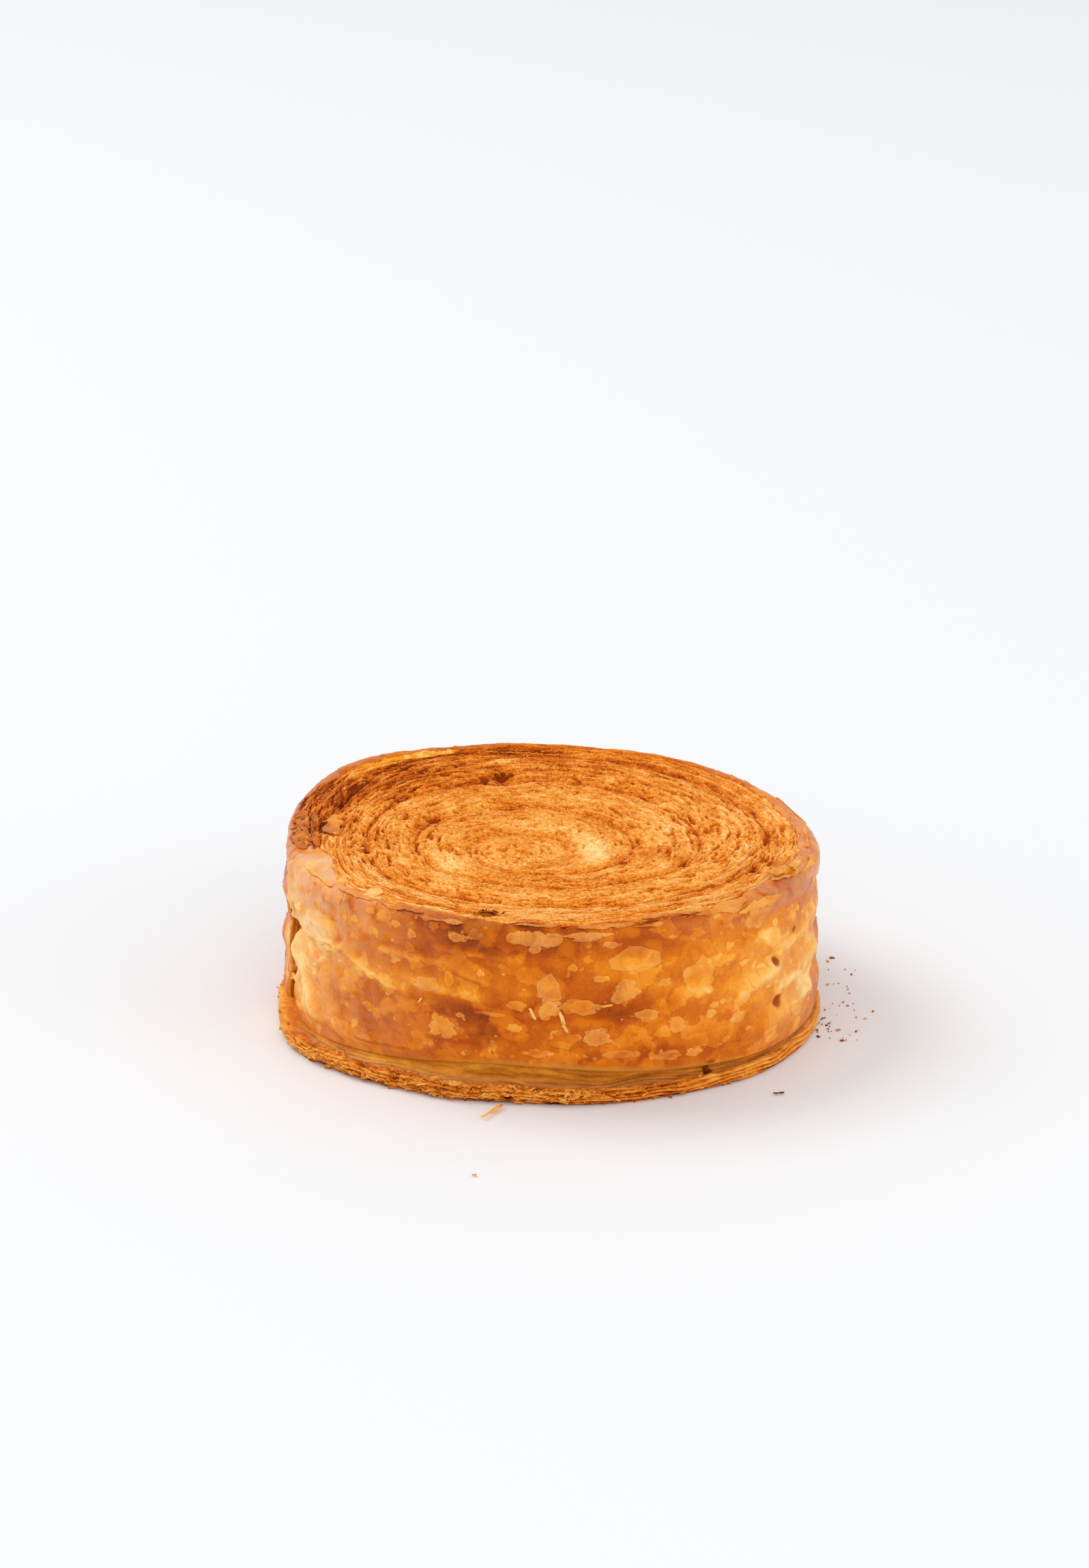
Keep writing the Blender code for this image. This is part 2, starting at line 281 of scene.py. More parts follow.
# The largest pores: x, y, width and length in mm, depth in mm
CAVES = (
    (-23.6, 7.0, 2.2, 3.0, 0.8), (-17.7, 6.1, 2.4, 2.6, 0.7), (-39.9, 5.4, 1.4, 3.0, 0.8),
    (-21.1, -10.6, 2.4, 3.0, 0.7), (-18.2, -13.5, 1.6, 3.0, 0.9), (-9.0, 14.2, 5.4, 1.8, 0.5),
    (-27.0, -6.5, 2.8, 1.8, 0.6), (-12.1, -13.9, 1.8, 1.4, 0.6), (-32.2, -15.9, 1.2, 1.8, 0.7),
    (-13.5, 32.2, 1.6, 2.6, 0.7), (-30.9, 34.3, 1.4, 1.8, 0.6), (-37.7, -12.3, 2.2, 2.6, 1.2),
    (-9.7, 35.6, 4.6, 5.0, 1.1), (15.4, -17.4, 1.6, 2.4, 0.8), (20.0, -11.5, 1.6, 3.6, 0.6),
    (34.1, -16.3, 1.6, 3.6, 0.8), (45.5, -16.3, 2.2, 4.4, 0.8), (27.9, -17.9, 1.8, 2.4, 0.6),
    (42.9, -22.1, 1.8, 2.2, 0.6), (48.8, -20.3, 1.2, 4.4, 0.7), (48.7, 4.0, 1.2, 5.0, 0.6),
    (30.4, 1.5, 1.4, 2.4, 0.6), (-9.2, -11.5, 1.8, 2.4, 0.6), (41.7, -18.7, 1.4, 4.0, 0.7),
)
# Torn walls that stand up beside them, the same way
BRIMS = ((-8.6, 41.2, 5.0, 2.4, 0.6), (-35.4, -14.0, 2.4, 2.0, 0.5), (-26.6, -8.0, 2.6, 1.0, 0.4))
# Patches that stayed pale: x, y, width and length in mm, how pale
PALE = ((-20.8, -20.3, 10.0, 13.0, 0.8), (-7, 3, 17, 6.4, 0.55), (-11, -6, 12, 8, 0.35))


def ovals(x, y, table):
    """Soft-edged ovals laid on the top, each as tall as its last number."""
    return sum(tall * bell(np.hypot((x - left) * 2 / wide, (y - front) * 2 / long))
               for left, front, wide, long, tall in table)


def crumb(share, turn):
    """The baked crumb: the smooth form, plus streaks of noise long in the strip's direction,
    plus rounder noise for grains, less the pores and a fine crack along each seam. Past a
    share of 1 it goes on round the rim, and it dips where the skin covers it. Returns the
    places and, for the finish, how deep in a pore and how toasted each is, with painted
    light on the raised streaks, lumps, walls and sheets and painted shade in the pores,
    caves and cracks."""
    inward = (1 - share) * np.linalg.norm(rim_edge(turn) - HEART, axis=-1)
    run = rim_height(turn) + RIM_ARC + inward
    places, facing = skin_at(turn, run)
    x, y = places[..., 0], places[..., 1]
    drift = grain(places, 6.0, 21)
    wander = grain(places, 2.2, 22)
    across, along = strip_place(share, turn)
    across = across + 0.9 * drift + 0.35 * wander
    bent = on_map(across, along)
    streak = grain(bent, (0.85, 8.0, 1), 23) + 0.7 * grain(bent, (0.45, 3.5, 1), 24)
    lumps = 0.5 * grain(places, 1.2, 25) + 0.7 * grain(places, 0.55, 26)
    long_pores = spots(along + 1.5 * wander, across, (5.0, 2.0), (2.6, 0.6), 0.6, 27)
    small_pores = spots(along + 0.8 * drift, across, (1.9, 1.0), (0.9, 0.34), 0.55, 28)
    round_pores = spots(x + 0.4 * wander, y, (2.6, 2.6), (0.6, 0.6), 0.45, 29)
    gaps = spots(along + 1.2 * drift, across, (6.5, 2.5), (3.6, 0.6), 0.7, 35)
    gaps = gaps * hump(turn, 12, 46) * ease(share, 0.42, 0.6)
    pore = np.clip(1.5 * long_pores + 1.2 * small_pores + 1.2 * round_pores + 1.3 * gaps, 0, 1)
    wound = spiral(share, turn)
    off_seam = np.abs(wound - np.round(wound)) * STRIP_WIDTH + 0.25 * wander
    crack = bell(off_seam / 0.28) * ease(grain(places, 7.0, 30), -0.25, 0.3) * ease(share, 0.1, 0.3)
    at_front_left = hump(turn, -135, 50)
    inner = 0.80 + 0.1 * hump(turn, 20, 60) - 0.06 * at_front_left
    pale = bell((x - 9.6 + 0.035 * (y + 12) ** 2) / 3.2) * bell((y + 12) / 8.5) + ovals(x, y, PALE)
    caves = ovals(x + 0.3 * wander, y + 0.5 * wander, CAVES)
    brims = ovals(x + 0.3 * wander, y + 0.3 * wander, BRIMS)
    laid = 0.4 + 0.6 * ease(share, 0.35, 0.8)  # how plainly the sheets show as streaks
    back = hump(turn, 143, 40) * ease(share - 0.12 * hump(turn, 168, 26), 0.60, 0.80)
    back = back + 0.5 * hump(turn, 168, 16) * ease(share, 0.86, 0.93)
    packed = ease(share, inner, 0.93)  # tight sheets inside the rim
    pore = pore * (1 - 0.75 * packed) * (1 - 0.8 * np.minimum(pale, 1))
    packed = np.maximum(packed, np.minimum(1.1 * back, 1))
    loose = 1 - packed
    bubbly = loose * (1 - 3 * np.abs(grain(places, 0.95, 34)))  # thin walls between tiny bubbles
    lumps = lumps * (1 - 0.75 * packed)
    streak = streak * laid
    thin = np.sin(2 * np.pi * inward / 0.62 + 7 * drift + 3 * wander) * (0.6 + 0.8 * grain(places, 5.0, 33))
    sheets = (0.5 * np.sin(2 * np.pi * inward / 1.3 + 5.5 * drift + 2.2 * wander) + 0.6 * thin) * packed
    sheets = sheets * (0.85 + 0.45 * at_front_left)
    relief = (0.19 * streak + 0.17 * lumps + 0.07 * bubbly + 0.17 * sheets - 0.95 * pore - caves
              + brims - 0.30 * crack + 0.25 * grain(places, 9.0, 31))
    covered = ease(skin_end(turn) - run, -0.15, 0.45)
    relief = relief * (1 - covered) - 0.5 * covered
    strip = 0.966 - 0.0011 * (turn - 128)
    amber = np.exp(-(((share - strip) / 0.016) ** 4)) * ease(hump(turn, 129, 16), 0.2, 0.6)
    inner_part = ease(share, 0.1, 0.3)
    # Toast, partly the crumb's own colour: raised streaks, lumps, walls and sheets are made paler as
    # painted highlight, and pores, caves and cracks darker as painted shade.
    toast_and_shading = (0.43 + 0.12 * grain(places, 13.0, 32) + 0.11 * drift - 0.21 * streak - 0.17 * lumps
             - 0.06 * bubbly + 0.42 * pore + 0.50 * caves - 0.5 * brims + 0.22 * crack
             + 0.15 * bell(off_seam / 1.7) * inner_part
             + (0.25 - 0.10 * streak / laid) * back
             + 0.14 * hump(turn, 75, 45) * ease(share, 0.5, 0.9)
             + 0.16 * hump(turn, 103, 14) * ease(share, 0.88, 0.95)
             + 0.09 * hump(turn, -97, 24) * ease(share, 0.86, 0.93)
             - 0.10 * hump(turn, 15, 40) * ease(share, 0.3, 0.6)
             - 0.40 * pale - 0.20 * sheets - 0.30 * amber + 0.25 * ease(share, 1.0, 1.04))
    fields = {"toast_and_shading": toast_and_shading, "pore": pore + 0.6 * crack, "amber": amber}
    return places + facing * relief[..., None], fields


def grid_faces(rows, columns, close_rows=False, close_columns=False):
    """Quads between the neighbours of a grid of points, each with its own corners on a
    picture that is one unit wide and high. The last row or column may join the first."""
    high = rows if close_rows else rows - 1
    wide = columns if close_columns else columns - 1
    row, column = (part.ravel() for part in np.indices((high, wide)))
    steps = ((0, 0), (1, 0), (1, 1), (0, 1))
    corners = [(row + down) % rows * columns + (column + on) % columns for down, on in steps]
    flat = [np.stack([(column + on) / wide, (row + down) / high], -1) for down, on in steps]
    return np.stack(corners, axis=1), np.stack(flat, axis=1)


def mesh_of(name, points, faces, material, fields={}, flats=None):
    """A mesh from arrays: points in mm, groups of faces as rows of corners, one number for
    each point in each field, and each face's corners on a flat picture of the surface."""
    mesh = bpy.data.meshes.new(name)
    placed = np.reshape(points, (-1, 3)) - MIDDLE
    mesh.vertices.add(len(placed))
    mesh.vertices.foreach_set("co", (placed * MM).astype(np.float32).ravel())
    sizes = np.concatenate([np.full(len(group), group.shape[1]) for group in faces])
    mesh.loops.add(sizes.sum())
    corners = np.concatenate([group.ravel() for group in faces])
    mesh.loops.foreach_set("vertex_index", corners.astype(np.int32))
    mesh.polygons.add(len(sizes))
    mesh.polygons.foreach_set("loop_start", (np.cumsum(sizes) - sizes).astype(np.int32))
    mesh.polygons.foreach_set("use_smooth", np.full(len(sizes), True))
    if flats:
        spread = np.concatenate([np.reshape(part, (-1, 2)) for part in flats])
        layer = mesh.uv_layers.new(name="OFBake")
        layer.uv.foreach_set("vector", spread.astype(np.float32).ravel())
    for label, values in fields.items():
        store = mesh.attributes.new(label, "FLOAT", "POINT")
        store.data.foreach_set("value", np.ravel(values).astype(np.float32))
    mesh.update(calc_edges=True)
    mesh.validate()
    mesh.materials.append(material)
    return into_scene(bpy.data.objects.new(name, mesh))


def into_scene(thing):
    bpy.context.scene.collection.objects.link(thing)
    return thing


def make_piece(name, points, faces, material, fields={}, flats=None):
    """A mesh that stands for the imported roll."""
    piece = mesh_of(name, points, faces, material, fields, flats)
    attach(piece, "root")
    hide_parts("roll")


def baked(red, green, blue):
    """A colour given as it shows in daylight, 0 to 255, as the light the surface gives back."""
    shown = np.array([red, green, blue]) / 255
    return (*np.where(shown <= 0.04045, shown / 12.92, ((shown + 0.055) / 1.055) ** 2.4), 1.0)


def tones(*stops):
    """A ramp's stops, each a place and a colour as it shows."""
    return [(place, baked(*colour)) for place, *colour in stops]


class Wire:
    """One output socket in a material. Arithmetic on it adds Math nodes."""

    def __init__(self, tree, socket=None):
        self.tree = tree
        self.socket = socket

    def add(self, kind, sockets=(), output=0, stops=None, **settings):
        """Any other node: its settings and a ramp's stops first, then its sockets' values."""
        node = self.tree.nodes.new("ShaderNode" + kind)
        for name, value in settings.items():
            setattr(node, name, value)
        for number, (place, colour) in enumerate(stops or ()):
            ramp = node.color_ramp.elements
            element = ramp[number] if number < len(ramp) else ramp.new(1.0)
            element.position = place
            element.color = colour
        for name, value in dict(sockets).items():
            if isinstance(value, Wire):
                self.tree.links.new(value.socket, node.inputs[name])
            else:
                node.inputs[name].default_value = value
        return Wire(self.tree, node.outputs[output])

    def math(self, operation, first, second):
        return self.add("Math", {0: first, 1: second}, operation=operation)

    def __add__(self, other):
        return self.math("ADD", self, other)

    def __sub__(self, other):
        return self.math("SUBTRACT", self, other)

    def __rsub__(self, other):
        return self.math("SUBTRACT", other, self)

    def __mul__(self, other):
        return self.math("MULTIPLY", self, other)

    __radd__ = __add__
    __rmul__ = __mul__

    def between(self, low, high):
        """0 at low and 1 at high, smoothly."""
        sockets = {"Value": self, "From Min": low, "From Max": high}
        return self.add("MapRange", sockets, interpolation_type="SMOOTHSTEP")

    def field(self, name):
        """A number that each point of the mesh holds."""
        return self.add("Attribute", output=2, attribute_name=name)

    def noise(self, places, size, detail=2.0, roughness=0.5, distortion=0.0):
        """Noise from 0 to 1 whose largest lumps are this many millimetres."""
        sockets = {"Vector": places, "Scale": 1 / (size * MM), "Detail": detail}
        return self.add("TexNoise", sockets | {"Roughness": roughness, "Distortion": distortion})

    def mix(self, share, first, second):
        """A blend of two colours."""
        sockets = {0: share, 6: first, 7: second}
        return self.add("Mix", sockets, output=2, data_type="RGBA", clamp_factor=True)

    def surface(self, colour, height, strength, deep, **more):
        """Wires for the shader: a colour, and a bump this many millimetres deep."""
        sockets = {"Height": height, "Strength": strength, "Distance": deep * MM}
        return {"Base Color": colour, "Normal": self.add("Bump", sockets), **more}


OILY = (1.0, 0.70, 0.25, 1)  # what the buttery surfaces give back of a white light


def finish_with(name, roughness, shine, look, tint=OILY):
    """A material: look takes a start wire and the object's own places, and returns wires for
    the shader's sockets."""
    material = bpy.data.materials.new(name)
    material.use_nodes = True
    tree = material.node_tree
    shader = tree.nodes["Principled BSDF"].inputs
    shader["Roughness"].default_value = roughness
    shader["Specular IOR Level"].default_value = shine
    shader["Specular Tint"].default_value = tint
    start = Wire(tree)
    for label, wire in look(start, start.add("TexCoord", output=3)).items():
        tree.links.new(wire.socket, shader[label])
    return material


CRUMB_TONES = tones((0, 255, 220, 148), (0.2, 254, 192, 104), (0.4, 246, 156, 55),
                    (0.58, 226, 122, 25), (0.78, 188, 82, 10), (1, 116, 34, 1))


def crumb_look(start, places):
    """Toast and painted shading from the mesh plus fine noise picks the tone; pores turn a
    deeper amber, partly their own colour and partly painted shade.
    """
    toast_and_shading = start.field("toast_and_shading")
    fine = start.noise(places, 0.5, 3.0, 0.65)
    coarse = start.noise(places, 2.4, 2.0, 0.5)
    tone = toast_and_shading + (fine - 0.5) * 0.95 + (coarse - 0.5) * 0.35
    colour = start.add("ValToRGB", {"Fac": tone}, stops=CRUMB_TONES)
    colour = start.mix(start.field("pore").between(0.15, 0.9) * 0.6, colour, baked(204, 92, 2))
    golden = start.mix(coarse.between(0.45, 0.65), baked(250, 156, 14), baked(255, 212, 110))
    colour = start.mix(start.field("amber").between(0.1, 0.5) * 0.95, colour, golden)
    cells = {"Vector": places, "Scale": 1 / (0.85 * MM)}
    speck = 1 - start.add("TexVoronoi", cells).between(0.12, 0.25)
    speck = speck * start.noise(places, 5.0).between(0.42, 0.58) * toast_and_shading.between(0.75, 0.45)
    colour = start.mix(speck * 0.6, colour, baked(255, 222, 150))
    return start.surface(colour, fine + start.noise(places, 0.3, 2.0) * 0.6, 0.6, 0.35)


crumb_finish = finish_with("toasted crumb", 0.62, 0.12, crumb_look)


def disc_shares(cells):
    """A square grid pressed into a disc: each square ring of it becomes a round ring."""
    side, up = np.meshgrid(*2 * [np.linspace(-1, 1, cells + 1)])
    wide = np.abs(side) > np.abs(up)
    major = np.where(wide, side, up)
    ratio = np.where(wide, up, side) / np.where(major == 0, 1, major)
    turn = np.where(wide, 45 * ratio, 90 - 45 * ratio) + 180 * (major < 0)
    return np.abs(major), (turn + 180) % 360 - 180


def border_of(rows, columns):
    """The outermost points of a grid, one after another."""
    index = np.arange(rows * columns).reshape(rows, columns)
    return np.concatenate([index[0, :-1], index[:-1, -1], index[-1, :0:-1], index[:0:-1, 0]])


def flat_top(points, spread=1.0, middle=0.5):
    """The top's picture: its plan, about 116 mm wide."""
    return points[..., :2] / 116 * spread + middle


def with_pad(fields, number, *values):
    """Fields carried on over this many more points, which hold one value in each field."""
    pads = zip(fields, values or len(fields) * [1.0])
    return {label: np.append(fields[label], np.full(number, value)) for label, value in pads}


def inner_turns():
    """The disc, with a skirt and a fan under it to one point."""
    ring, turn = disc_shares(DISC_CELLS)
    points, fields = crumb(ring * INNER_SHARE, turn)
    points = points.reshape(-1, 3)
    top = grid_faces(DISC_CELLS + 1, DISC_CELLS + 1)[0][:, ::-1]
    border = border_of(DISC_CELLS + 1, DISC_CELLS + 1)
    below = len(points) + np.arange(len(border))
    after, below_after = np.roll(border, -1), np.roll(below, -1)
    skirt = np.stack([border, below, below_after, after], axis=1)
    fan = np.stack([below, np.full(len(border), below[-1] + 1), below_after], axis=1)
    points = np.concatenate([points, points[border] * [1, 1, 0] + [0, 0, CRUMB_FLOOR],
                             [[*HEART, CRUMB_FLOOR]]])
    small = flat_top(points, 0.10, 0.07)
    rim = flat_top(points, 0.11, 0.07)
    skirt_flat = np.stack([rim[border], small[below], small[below_after], rim[after]], 1)
    make_piece("inner_turns", points, [top, skirt, fan], crumb_finish,
               with_pad(fields, len(border) + 1), [flat_top(points)[top], skirt_flat, small[fan]])


def ring_of_turns(name, start, stop):
    """A ring of the top between two shares, closed by a flat underside. Past 1 it goes round
    the rim. Its picture is round, with the underside inside the top."""
    columns = 4 * DISC_CELLS
    turn = (-45 + 360 * np.arange(columns) / columns + 180) % 360 - 180
    points, fields = crumb(*np.meshgrid(np.linspace(start, stop, RING_ROWS), turn, indexing="ij"))
    inset = 0.97 if stop > 1 else 1.0
    last = points[[-1]] * [inset, inset, 0] + [0, 0, CRUMB_FLOOR]
    first = points[[0]] * [1, 1, 0] + [0, 0, CRUMB_FLOOR]
    faces, flat = grid_faces(RING_ROWS + 2, columns, True, True)
    spreads = np.concatenate([np.linspace(0.6, 1, RING_ROWS), [0.55, 0.45, 0.36]])  # of its width
    row, column = np.round(flat * [columns, RING_ROWS + 2]).astype(int).T[::-1]
    picture = ring_at(0.49 * spreads[row], 0, np.append(turn, turn[0] + 360)[column])[..., :2] + 0.5
    make_piece(name, np.concatenate([points, last, first]), [faces], crumb_finish,
               with_pad(fields, 2 * columns), [picture.swapaxes(0, 1)])


inner_turns()
ring_of_turns("outer_turns", INNER_SHARE, RIM_SHARE)
ring_of_turns("rim_turns", RIM_SHARE, BENT_SHARE)

# ------------------------------------------------------------------------------------------
# The edges of the thin sheets of dough that stand a little proud of the cut: dry, ragged fins
# that follow the spiral, thickest near the rim, where the sheets are packed tight.

FIN_COUNT = 420
FIN_STEPS = 22
FIN_THICK = 0.16
FIN_ROOT = 0.35
UP = np.array([0, 0, 1.0])


def bar_faces(steps, count):
    """Faces of many bars, each a path of this many steps with four sides and two ends."""
    ends = np.arange(4) * steps
    sides = grid_faces(4, steps, close_rows=True)[0]
    return repeat_faces([np.concatenate([sides, [ends[::-1], ends + steps - 1]])], 4 * steps, count)


def repeat_faces(groups, size, count):
    """The same faces for each of many equal pieces, each piece's points after the last's."""
    first = np.arange(count)[:, None, None] * size
    return [(group + first).reshape(-1, group.shape[1]) for group in groups]


def fins():
    """Each fin is a path along the spiral, share growing with turn, with a narrow four-sided
    profile whose height is a ragged arch: sqrt(sin) of the way along, times noise."""
    draw = np.random.default_rng(71)
    near_rim = draw.random(FIN_COUNT) < 0.6
    share = np.where(near_rim, 1.0 - 0.22 * draw.random(FIN_COUNT) ** 1.3,
                     0.12 + 0.72 * np.sqrt(draw.random(FIN_COUNT)))
    middle = draw.uniform(-180, 180, FIN_COUNT)
    at_left = near_rim & (draw.random(FIN_COUNT) < 0.45)
    middle = np.where(at_left, draw.normal(-100, 42, FIN_COUNT), middle)
    length = draw.uniform(3, 15, FIN_COUNT) * np.where(near_rim, 1.5, 1.0)
    tall = draw.uniform(0.12, 0.38, FIN_COUNT) * np.where(near_rim, 1.35, 1.0)
    way = np.linspace(-0.5, 0.5, FIN_STEPS)
    sweep = np.degrees(length / (share * RIM_RADIUS))[:, None] * way
    turn = (middle[:, None] + sweep + 180) % 360 - 180
    places, beneath = crumb(np.minimum(share[:, None] + sweep / 360 / TURNS, 1.045), turn)
    path = on_map(np.arange(FIN_COUNT)[:, None] * 3.7, length[:, None] * way)
    arch = np.sqrt(np.cos(np.pi * way)) * (0.75 + 0.55 * grain(path, (1, 1.1, 1), 72))
    height = tall[:, None] * np.maximum(arch, 0.02)
    lean = 0.5 * height * grain(path, (1, 3.0, 1), 73)
    out = ring_at(1, 0, turn)
    rows = []
    for across, top in ((-0.5, 0), (-0.25, 1), (0.25, 1), (0.5, 0)):
        level = height if top else 0 * height - FIN_ROOT
        shift = across * FIN_THICK + top * lean
        rows.append(places + out * shift[..., None] + UP * level[..., None])
    toast_and_shading = np.array([0.35, -0.12, -0.12, 0.35])[:, None] + 0.75 * beneath["toast_and_shading"][:, None, :]
    toast_and_shading = toast_and_shading + draw.uniform(-0.12, 0.25, FIN_COUNT)[:, None, None]
    make_piece("sheet_edges", np.stack(rows, axis=1), bar_faces(FIN_STEPS, FIN_COUNT),
               crumb_finish, {"toast_and_shading": toast_and_shading})


fins()

# ------------------------------------------------------------------------------------------
# Loose crumbs that lie in the pores and along the seams of the top, each a dry grain.

CRUMB_COUNT = 1500
CRUMB_SIDES = 5


def closed_faces(rings, sides):
    """Faces of a stack of rings between two single points, facing outwards where the rings
    run anticlockwise and the first point is on top."""
    here = np.arange(sides)
    after = (here + 1) % sides
    last = 1 + rings * sides
    first = np.stack([0 * here, 1 + here, 1 + after], axis=1)
    final = np.stack([0 * here + last, last - sides + after, last - sides + here], axis=1)
    return first, grid_faces(rings, sides, close_columns=True)[0] + 1, final


def loose_crumbs():
    """Each grain is two rings of five points between two poles, with its radius jittered."""
    draw = np.random.default_rng(75)
    share = 0.98 * np.sqrt(draw.random(CRUMB_COUNT))
    middle, fields = crumb(share, draw.uniform(-180, 180, CRUMB_COUNT))
    size = draw.uniform(0.10, 0.26, CRUMB_COUNT) * (1 + (draw.random(CRUMB_COUNT) < 0.04))
    around = 360 * np.arange(CRUMB_SIDES) / CRUMB_SIDES
    shape = np.concatenate([[UP], ring_at(0.9, 0.45, around), ring_at(0.9, -0.45, around), [-UP]])
    jitter = draw.uniform(0.6, 1.3, (CRUMB_COUNT, len(shape), 1))
    stretch = draw.uniform(0.7, 1.4, (CRUMB_COUNT, 1, 3)) * [1, 1, 0.7]
    points = middle[:, None] + shape * jitter * stretch * size[:, None, None] + [0, 0, 0.05]
    groups = repeat_faces(closed_faces(2, CRUMB_SIDES), len(shape), CRUMB_COUNT)
    toast_and_shading = np.repeat(fields["toast_and_shading"] * 0.4 + draw.uniform(-0.15, 0.3, CRUMB_COUNT), len(shape))
    make_piece("loose_crumbs", points, groups, crumb_finish, {"toast_and_shading": toast_and_shading})


loose_crumbs()

# ------------------------------------------------------------------------------------------
# The crust: the strip's outer skin, egg-washed and browned against the ring. It is smooth
# and slightly glossy, wrinkled at the left, puffed into low tiers, and its upper edge folds
# over the rim on to the crumb, where it ends in a ragged edge.

SKIN_THICK = 0.22
UNDERCUT = 2.4
TAIL_LAP = 0.8  # degrees that the strip's end laps over the turn under it
CRUST_SPLIT = 12.0  # turn at which the front and the back of the crust meet
CRUST_COLUMNS = 700
OVER_ROWS = 34
WALL_ROWS = 92
TURN_TO_MM = np.radians(1) * RIM_RADIUS  # one degree along the rim

# Folds pressed into the skin: turn and height of both ends, width, height of the fold in mm
FOLDS = (
    (-163.5, 36, -162, 25, 1.0, 0.7), (-158, 35, -157, 28, 1.1, 0.35), (-151, 33.5, -150, 27, 1.2, 0.3),
    (-164, 25.2, -160, 26.2, 0.6, 0.6), (-160, 26.2, -155.5, 24.4, 0.7, 0.6),
    (-155.5, 24.4, -151, 25.2, 0.6, 0.6), (-154, 22, -148.5, 19.6, 0.7, 0.6),
    (-148.5, 19.6, -143.5, 23.5, 0.7, 0.6), (-146.5, 25.8, -138, 26.6, 0.6, 0.7),
    (-162, 18, -151, 8.4, 1.9, 0.7), (-163, 21, -162, 12, 1.2, 0.7), (-138, 26.6, -130, 22.5, 0.9, 0.4),
    (-143, 31, -141, 28, 0.8, 0.35), (-130, 22.5, -122, 21, 1.2, 0.4), (-12, 12, -4, 26, 4.5, -1.1),
    (-127, 28.8, -118, 28.4, 0.8, 0.6), (-146, 18, -143, 10, 2.4, 0.5), (-120, 24, -104, 21.5, 1.8, 0.5),
    (-113, 31.5, -96, 30.2, 1.0, 0.4), (-113, 31, -113, 22, 1.2, 0.3), (-47, 18, -18, 27, 1.4, 0.45),
    (-60, 21, -36, 20, 2.2, 0.45), (-22, 24, -12, 15, 1.6, 0.4), (-30, 16, -14, 19, 1.6, 0.35),
    (-40, 10, -20, 12, 2.0, 0.4), (-100, 13.5, -60, 12, 3.0, 0.3), (30, 12, 66, 16, 2.4, 0.5),
    (48, 27, 84, 24, 2.0, 0.5), (96, 14, 128, 19, 2.6, 0.55), (112, 29, 150, 25, 2.0, 0.5),
    (152, 12, 182, 17, 2.2, 0.6), (158, 30, 188, 28, 1.8, 0.5),
)
# How toasted patches of the skin are: turn, height, width and height in mm, paler or darker
TOASTED = (
    (-100, 31.5, 62, 6.5, 0.24), (-84, 34, 40, 3.0, 0.10), (-104, 18.5, 32, 6.5, 0.28),
    (-96, 14, 28, 5, 0.18), (-63, 11.0, 26, 6, 0.28), (-44, 29, 24, 14, -0.14), (-45, 21, 24, 10, -0.12),
    (-36, 31, 16, 10, -0.10), (-148, 28, 20, 9, -0.12), (-115, 21, 12, 5, -0.20),
    (-137, 24.5, 14, 9, -0.22), (-163, 18, 12, 22, -0.16), (-27, 16, 8, 8, 0.12), (-27, 7, 14, 6, -0.12),
    (158, 41, 30, 8, 0.14), (-48, 8.5, 18, 5, 0.14), (-69, 27, 14, 8, 0.10), (-158, 9, 20, 12, -0.28),
    (-66, 23, 14, 6, -0.16), (-98, 27, 26, 3.4, 0.10), (-157, 22, 26, 24, -0.14),
    (-165, 36, 12, 14, -0.12), (-72, 19.5, 34, 5.0, 0.14), (-142, 17, 16, 6, 0.12),
    (-105, 12.5, 30, 5, 0.10), (-66, 28.5, 26, 6.0, -0.26), (-104, 27.5, 22, 6.0, -0.18),
    (-88, 30.5, 20, 4.5, -0.24), (-35, 24, 34, 12, -0.16), (-25, 14, 26, 12, -0.20),
    (-12, 28, 20, 14, -0.18), (-150, 26, 20, 16, -0.34), (-126, 24, 18, 6, -0.22),
    (-155, 15, 36, 20, -0.26), (-36, 12, 40, 16, -0.22), (-62, 15, 26, 9, -0.16),
    (-160, 30, 9, 22, -0.34), (-132, 32, 22, 8, -0.20), (-20, 20, 36, 24, -0.20), (0, 38, 50, 9, -0.22),
    (-150, 38, 26, 8, -0.16), (60, 38, 60, 6, -0.15), (-118, 36.5, 60, 2.6, 0.10),
    (-60, 37, 60, 2.4, 0.14), (-32, 34, 24, 5, 0.14), (-145, 41, 56, 8, -0.26),
    (-104, 36.8, 34, 6.5, 0.36), (30, 20, 44, 9, -0.12), (60, 30, 40, 7, 0.20), (96, 17, 50, 9, 0.22),
    (128, 27, 40, 9, -0.14), (160, 15, 40, 8, 0.20), (178, 30, 24, 12, 0.24), (78, 10, 44, 5, -0.12),
    (140, 36, 70, 5, 0.30),
)
# Pits: turn, height, width and height in mm
PITS = ((-36, 22.0, 2.1, 1.9), (-35, 13.2, 2.9, 2.8), (-28.5, 26.5, 1.5, 1.2), (-55, 5.6, 2.2, 0.9))
# Turn and height of both ends of each crack
SKIN_CRACKS = ((-103, 12.5, -102, 9.6), (-110, 26.3, -104.5, 24.6), (-136, 7.2, -123, 7.6))


def from_line(turn, run, line):
    """Distance in mm from a line on the unrolled skin, given by turn and height of its ends."""
    begin, stop = np.reshape(line[:4], (2, 2)) * [TURN_TO_MM, 1]
    way = stop - begin
    middle = (line[0] + line[2]) / 2
    unrolled = ((turn - middle + 180) % 360 - 180 + middle) * TURN_TO_MM
    off = np.stack([unrolled, run], axis=-1) - begin
    share = np.clip((off * way).sum(axis=-1) / (way * way).sum(), 0, 1)
    return np.linalg.norm(off - share[..., None] * way, axis=-1)


def from_spot(turn, run, spot):
    """Distance from an oval on the unrolled skin, 1 at its edge."""
    wide = ((turn - spot[0] + 180) % 360 - 180) * TURN_TO_MM / (spot[2] / 2)
    return np.hypot(wide, (run - spot[1]) / (spot[3] / 2))


